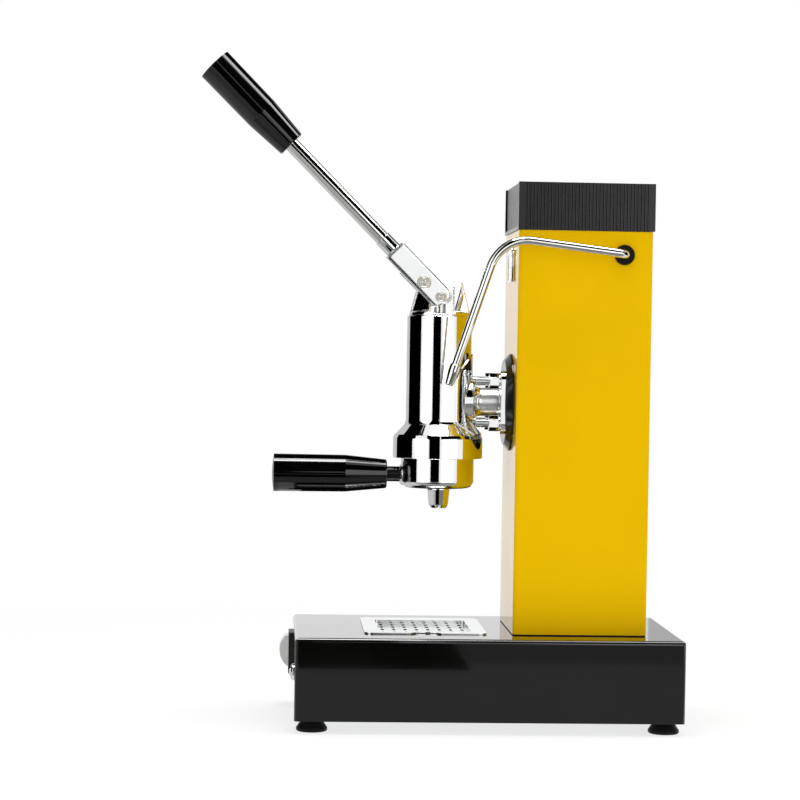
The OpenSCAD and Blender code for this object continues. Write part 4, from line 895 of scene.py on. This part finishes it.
@dataclass
class BrewGroup(Assembly):
    """The chromed group with its cylinder, piston and main spring."""

    title: str = "group"
    finishes: dict[str, Finish] = field(
        default_factory=lambda: {
            "insulating_disc": PHENOLIC,
            "group_body": NECKED_CHROME,
            "group_studs": BRIGHT_STEEL,
            "group_nuts": CHROME,
            "cylinder_liner": BRASS,
            "group_gasket": RUBBER,
            "shower_screen": BRUSHED,
            "bonnet": ROUNDED_CHROME,
            "piston": BRASS,
            "piston_seals": RUBBER,
            "piston_rod": BRIGHT_STEEL,
        }
    )
    wire_d: float = 4 * MM
    turns: float = 5.5
    steps_per_turn: int = 32
    wire_sides: int = 14
    stroke: float = 22.055 * MM

    def build(self) -> list[bpy.types.Object]:
        """Makes the main spring: a round wire spun up a helix, squeezed by the piston.

        Returns:
            The spring.
        """
        low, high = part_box("main_spring")
        radius = high.x - self.wire_d / 2
        rise = high.z - low.z - self.wire_d
        steps = round(self.turns * self.steps_per_turn)
        shape = bmesh.new()
        place = Matrix.Translation((radius, 0.0, low.z + self.wire_d / 2))
        ring = bmesh.ops.create_circle(
            shape, cap_ends=False, radius=self.wire_d / 2, segments=self.wire_sides,
            matrix=place @ Matrix.Rotation(math.pi / 2, 4, "X"),
        )
        edges = list({e for v in ring["verts"] for e in v.link_edges})
        bmesh.ops.spin(
            shape, geom=edges + ring["verts"], cent=(0.0, 0.0, 0.0), axis=(0.0, 0.0, 1.0),
            dvec=(0.0, 0.0, rise / steps), angle=2 * math.pi * self.turns, steps=steps,
            use_duplicate=False,
        )
        ends = [e for e in shape.edges if e.is_boundary]
        bmesh.ops.holes_fill(shape, edges=ends, sides=0)
        bmesh.ops.recalc_face_normals(shape, faces=shape.faces)
        spring = piece_from(shape, "wound_spring", "machine", BRIGHT_STEEL)
        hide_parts("main_spring")
        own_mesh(spring)
        return [spring]


@dataclass
class LeverArm(Assembly):
    """The fork, its pins, the rod and the lever grip."""

    title: str = "lever"
    finishes: dict[str, Finish] = field(
        default_factory=lambda: {
            "lever_fork": ROUNDED_CHROME,
            "fulcrum_pin": PIN_STEEL,
            "rod_pin": PIN_STEEL,
            "lever_ferrule": CHROME,
            "lever_rod": ROD_STEEL,
            "lever_grip": BAKELITE,
        }
    )


@dataclass
class Portafilter(Assembly):
    """The portafilter with its basket, neck, grip and spout."""

    title: str = "portafilter"
    finishes: dict[str, Finish] = field(
        default_factory=lambda: {
            "portafilter_body": CHROME,
            "filter_basket": POLISHED,
            "basket_clip": BRIGHT_STEEL,
            "portafilter_neck": BLACK_SATIN,
            "portafilter_grip": BAKELITE,
            "spout": CHROME,
        }
    )


@dataclass
class SteamSide(Assembly):
    """The steam valve, its wand on one side and its knob on the other."""

    title: str = "steam"
    finishes: dict[str, Finish] = field(
        default_factory=lambda: {
            "steam_valve": BRASS,
            "wand_grommet": RUBBER,
            "wand_pipe": WAND_CHROME,
            "wand_nozzle": WAND_CHROME,
            "steam_spindle": BRIGHT_STEEL,
            "spindle_bush": RUBBER,
            "steam_knob": BAKELITE,
        }
    )


@dataclass
class BoilerSet(Assembly):
    """The boiler with its filler and fittings."""

    title: str = "boiler"
    finishes: dict[str, Finish] = field(
        default_factory=lambda: {
            "boiler": COPPER,
            "filler_cap": BAKELITE,
            "heating_element": ZINC,
            "safety_valve": BRASS,
            "pressure_switch": ZINC,
        }
    )


@dataclass
class FrontPanel(Assembly):
    """The rocker switch and the pilot lamp."""

    title: str = "panel"
    finishes: dict[str, Finish] = field(
        default_factory=lambda: {
            "switch_frame": BLACK_PLASTIC,
            "rocker": GREY_PLASTIC,
            "lamp_bezel": CHROME,
            "lamp_lens": FROSTED,
        }
    )


@dataclass
class DripTray(Assembly):
    """The lift-out tray and its slotted plate."""

    title: str = "tray"
    finishes: dict[str, Finish] = field(
        default_factory=lambda: {
            "tray_frame": ZINC, "drip_tray": BRUSHED, "drip_plate": SATIN_STEEL,
        }
    )


@dataclass
class MainsInlet(Assembly):
    """The mains inlet at the back."""

    title: str = "inlet"
    finishes: dict[str, Finish] = field(
        default_factory=lambda: {"mains_inlet": BLACK_PLASTIC, "inlet_pins": NICKEL}
    )


@dataclass(frozen=True)
class Lamp:
    """A soft box: an area lamp that looks at a point."""

    name: str
    place: Triple
    aim: Triple
    width: float
    height: float
    radiance: float

    def build(self) -> None:
        """Makes the lamp."""
        data = bpy.data.lights.new(self.name, "AREA")
        data.shape = "RECTANGLE"
        data.size, data.size_y = self.width, self.height
        data.energy = self.radiance * math.pi * self.width * self.height
        lamp = bpy.data.objects.new(self.name, data)
        lamp.location = self.place
        look = Vector(self.aim) - Vector(self.place)
        lamp.rotation_euler = look.to_track_quat("-Z", "Y").to_euler()
        bpy.context.scene.collection.objects.link(lamp)


@dataclass(frozen=True)
class Card:
    """A studio card, black or glowing a little, that only reflections see."""

    name: str
    corner: Triple
    along: Triple
    rise: Triple
    glow: float = 0.0

    def build(self) -> None:
        """Makes the card."""
        material = bpy.data.materials.new(self.name)
        material.use_nodes = True
        sheet = Sheet(material.node_tree)
        shine = sheet.add("Emission")
        shine.inputs["Strength"].default_value = self.glow
        sheet.join(shine.outputs[0], sheet.add("OutputMaterial").inputs["Surface"])
        along, rise = Vector(self.along), Vector(self.rise)
        normal = along.cross(rise).normalized()
        middle = Vector(self.corner) + (along + rise) / 2
        place = Matrix((along, rise, normal)).transposed().to_4x4()
        place.translation = middle
        shape = bmesh.new()
        bmesh.ops.create_grid(shape, x_segments=1, y_segments=1, size=0.5, matrix=place)
        card = object_from(shape, self.name, material)
        card.visible_camera = False
        card.visible_diffuse = False
        card.visible_shadow = False


@dataclass
class Studio:
    """The camera, the pale floor, the soft light and the cards that chrome reflects."""

    eye: Triple = (-0.12697, -1.78369, 0.2825)
    yaw: float = 0.0546
    pitch: float = -0.021
    roll: float = 0.0163
    focal: float = 104.69
    sensor: float = 36.0
    sight: float = 50.0
    fill: float = 0.6
    floor_half: float = 8.0
    floor_tone: float = 0.9
    floor_glow: float = 0.72
    glow_from: float = 0.3
    glow_to: float = 0.9
    lamps: tuple[Lamp, ...] = (
        Lamp("near_overhead", (-0.085, -0.06, 1.45), (-0.085, -0.06, 0.0), 0.33, 0.47, 16.0),
        Lamp("far_overhead", (0.54, -0.035, 1.45), (0.54, -0.035, 0.0), 0.92, 0.47, 6.5),
        Lamp("left_box", (-1.25, -1.2, 0.6), (0.0, 0.0, 0.2), 1.1, 1.3, 0.75),
        Lamp("right_box", (0.8, -1.5, 0.6), (0.0, 0.0, 0.2), 1.2, 1.3, 0.75),
    )
    cards: tuple[Card, ...] = (
        Card("left_card", (-1.135, -0.39, 0.002), (0.229, 1.177, 0.0), (0.35, 0.0, 2.0)),
        Card("right_card", (1.05, -0.45, 0.002), (0.0, 0.7, 0.0), (0.0, 0.0, 0.9)),
        Card("rear_left", (-0.906, 0.787, 0.002), (0.506, 0.713, 0.0), (0.0, 0.0, 1.6), 0.6),
        Card("rear_right", (0.95, 0.85, 0.002), (-0.53, 0.7, 0.0), (0.0, 0.0, 1.6), 0.6),
        Card("eye_low", (-0.845, -1.813, 0.002), (0.915, -0.186, 0.0), (0.0, 0.0, 0.39)),
        Card("eye_mid", (-0.845, -1.813, 0.392), (0.785, -0.16, 0.0), (0.0, 0.1, 0.16)),
        Card("eye_high", (-0.845, -1.713, 0.552), (0.915, -0.186, 0.0), (0.0, 1.3, 2.04)),
        Card("back_card", (-1.2, 0.2, 1.6), (2.4, 0.0, 0.0), (0.0, 2.1, -0.4)),
        Card("upper_card", (0.12, -1.45, 0.82), (1.5, 0.75, 0.0), (0.0, 0.6, 0.75)),
        Card("left_floor", (-2.0, -0.5, 0.001), (1.88, 0.0, 0.0), (0.0, 1.8, 0.0), 0.6),
        Card("under_card", (-0.1, 0.09, 0.003), (0.4, 0.0, 0.0), (0.0, 0.5, 0.0)),
        Card("floor_card", (-1.2, -1.6, 0.003), (1.25, 0.0, 0.0), (0.0, 1.19, 0.0)),
        Card("rod_floor", (-1.3, -1.7, 0.004), (0.9, 0.0, 0.0), (0.0, 1.3, 0.0), 0.42),
        Card("right_floor", (0.05, -1.6, 0.003), (0.9, 0.0, 0.0), (0.0, 1.15, 0.0), 0.2),
        Card("near_floor", (-0.6, -0.8, 0.002), (1.2, 0.0, 0.0), (0.0, 0.69, 0.0), 0.32),
    )

    def build(self) -> None:
        """Makes the whole studio."""
        bpy.context.scene.view_settings.view_transform = "Standard"
        self._camera()
        self._world()
        self._floor()
        for lamp in self.lamps:
            lamp.build()
        for card in self.cards:
            card.build()

    def _camera(self) -> None:
        """Sets the camera at the photograph's viewing angle."""
        ahead = Vector(
            (
                math.sin(self.yaw) * math.cos(self.pitch),
                math.cos(self.yaw) * math.cos(self.pitch),
                math.sin(self.pitch),
            )
        )
        level = Vector((math.cos(self.yaw), -math.sin(self.yaw), 0.0))
        above = level.cross(ahead)
        right = level * math.cos(self.roll) + above * math.sin(self.roll)
        up = above * math.cos(self.roll) - level * math.sin(self.roll)
        data = bpy.data.cameras.new("camera")
        data.lens = self.focal
        data.sensor_width = self.sensor
        data.clip_end = self.sight
        camera = bpy.data.objects.new("camera", data)
        turn = Matrix((right, up, -ahead)).transposed().to_4x4()
        turn.translation = Vector(self.eye)
        camera.matrix_world = turn
        bpy.context.scene.collection.objects.link(camera)
        bpy.context.scene.camera = camera

    @staticmethod
    def _seen(sheet: Sheet) -> bpy.types.NodeSocket:
        """Tells rays that show a surface from rays that light the object.

        Args:
            sheet: the sheet that asks.

        Returns:
            1 for camera, glossy and transmission rays, else 0.
        """
        path = sheet.add("LightPath").outputs
        mirror = sheet.math("MAXIMUM", path["Is Glossy Ray"], path["Is Transmission Ray"])
        return sheet.math("MAXIMUM", path["Is Camera Ray"], mirror)

    def _world(self) -> None:
        """Makes a white surround that lights the object at a plain level."""
        world = bpy.data.worlds.new("studio")
        world.use_nodes = True
        bpy.context.scene.world = world
        sheet = Sheet(world.node_tree)
        light, backdrop = sheet.add("Background"), sheet.add("Background")
        light.inputs["Strength"].default_value = self.fill
        backdrop.inputs["Strength"].default_value = 1.0
        for node in (light, backdrop):
            node.inputs["Color"].default_value = WHITE
        mix = sheet.add("MixShader")
        sheet.join(self._seen(sheet), mix.inputs[0])
        sheet.join(light.outputs[0], mix.inputs[1])
        sheet.join(backdrop.outputs[0], mix.inputs[2])
        sheet.join(mix.outputs[0], sheet.add("OutputWorld").inputs["Surface"])

    def _floor(self) -> None:
        """Makes the pale floor, which keeps the machine's shadow."""
        material = bpy.data.materials.new("pale_floor")
        material.use_nodes = True
        sheet = Sheet(material.node_tree)
        matt, glow = sheet.add("BsdfDiffuse"), sheet.add("Emission")
        matt.inputs["Color"].default_value = (*(self.floor_tone,) * 3, 1.0)
        mix = sheet.add("MixShader")
        reach = sheet.add("VectorMath", operation="LENGTH")
        sheet.join(sheet.add("TexCoord").outputs["Object"], reach.inputs[0])
        far = sheet.ramp(reach.outputs["Value"], self.glow_from, self.glow_to)
        share = sheet.math(
            "ADD", self.floor_glow, sheet.math("MULTIPLY", far, 1.0 - self.floor_glow)
        )
        sheet.join(sheet.math("MULTIPLY", self._seen(sheet), share), mix.inputs[0])
        sheet.join(matt.outputs[0], mix.inputs[1])
        sheet.join(glow.outputs[0], mix.inputs[2])
        sheet.join(mix.outputs[0], sheet.add("OutputMaterial").inputs["Surface"])
        shape = bmesh.new()
        bmesh.ops.create_grid(shape, x_segments=1, y_segments=1, size=self.floor_half)
        floor = object_from(shape, "floor", material)


def main() -> None:
    """Loads the frame, dresses each assembly and sets up the studio."""
    logging.basicConfig(level=logging.INFO, format="%(name)s: %(message)s")
    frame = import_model()
    assemblies: list[Assembly] = [
        BaseBox(), Column(), BrewGroup(), LeverArm(), Portafilter(), SteamSide(),
        BoilerSet(), FrontPanel(), DripTray(), MainsInlet(),
    ]
    for assembly in assemblies:
        assembly.dress(frame["nodes"])
        for piece in assembly.build():
            LOG.info("%s: made %s", assembly.title, piece.name)
    Studio().build()


if __name__ == "__main__":
    main()
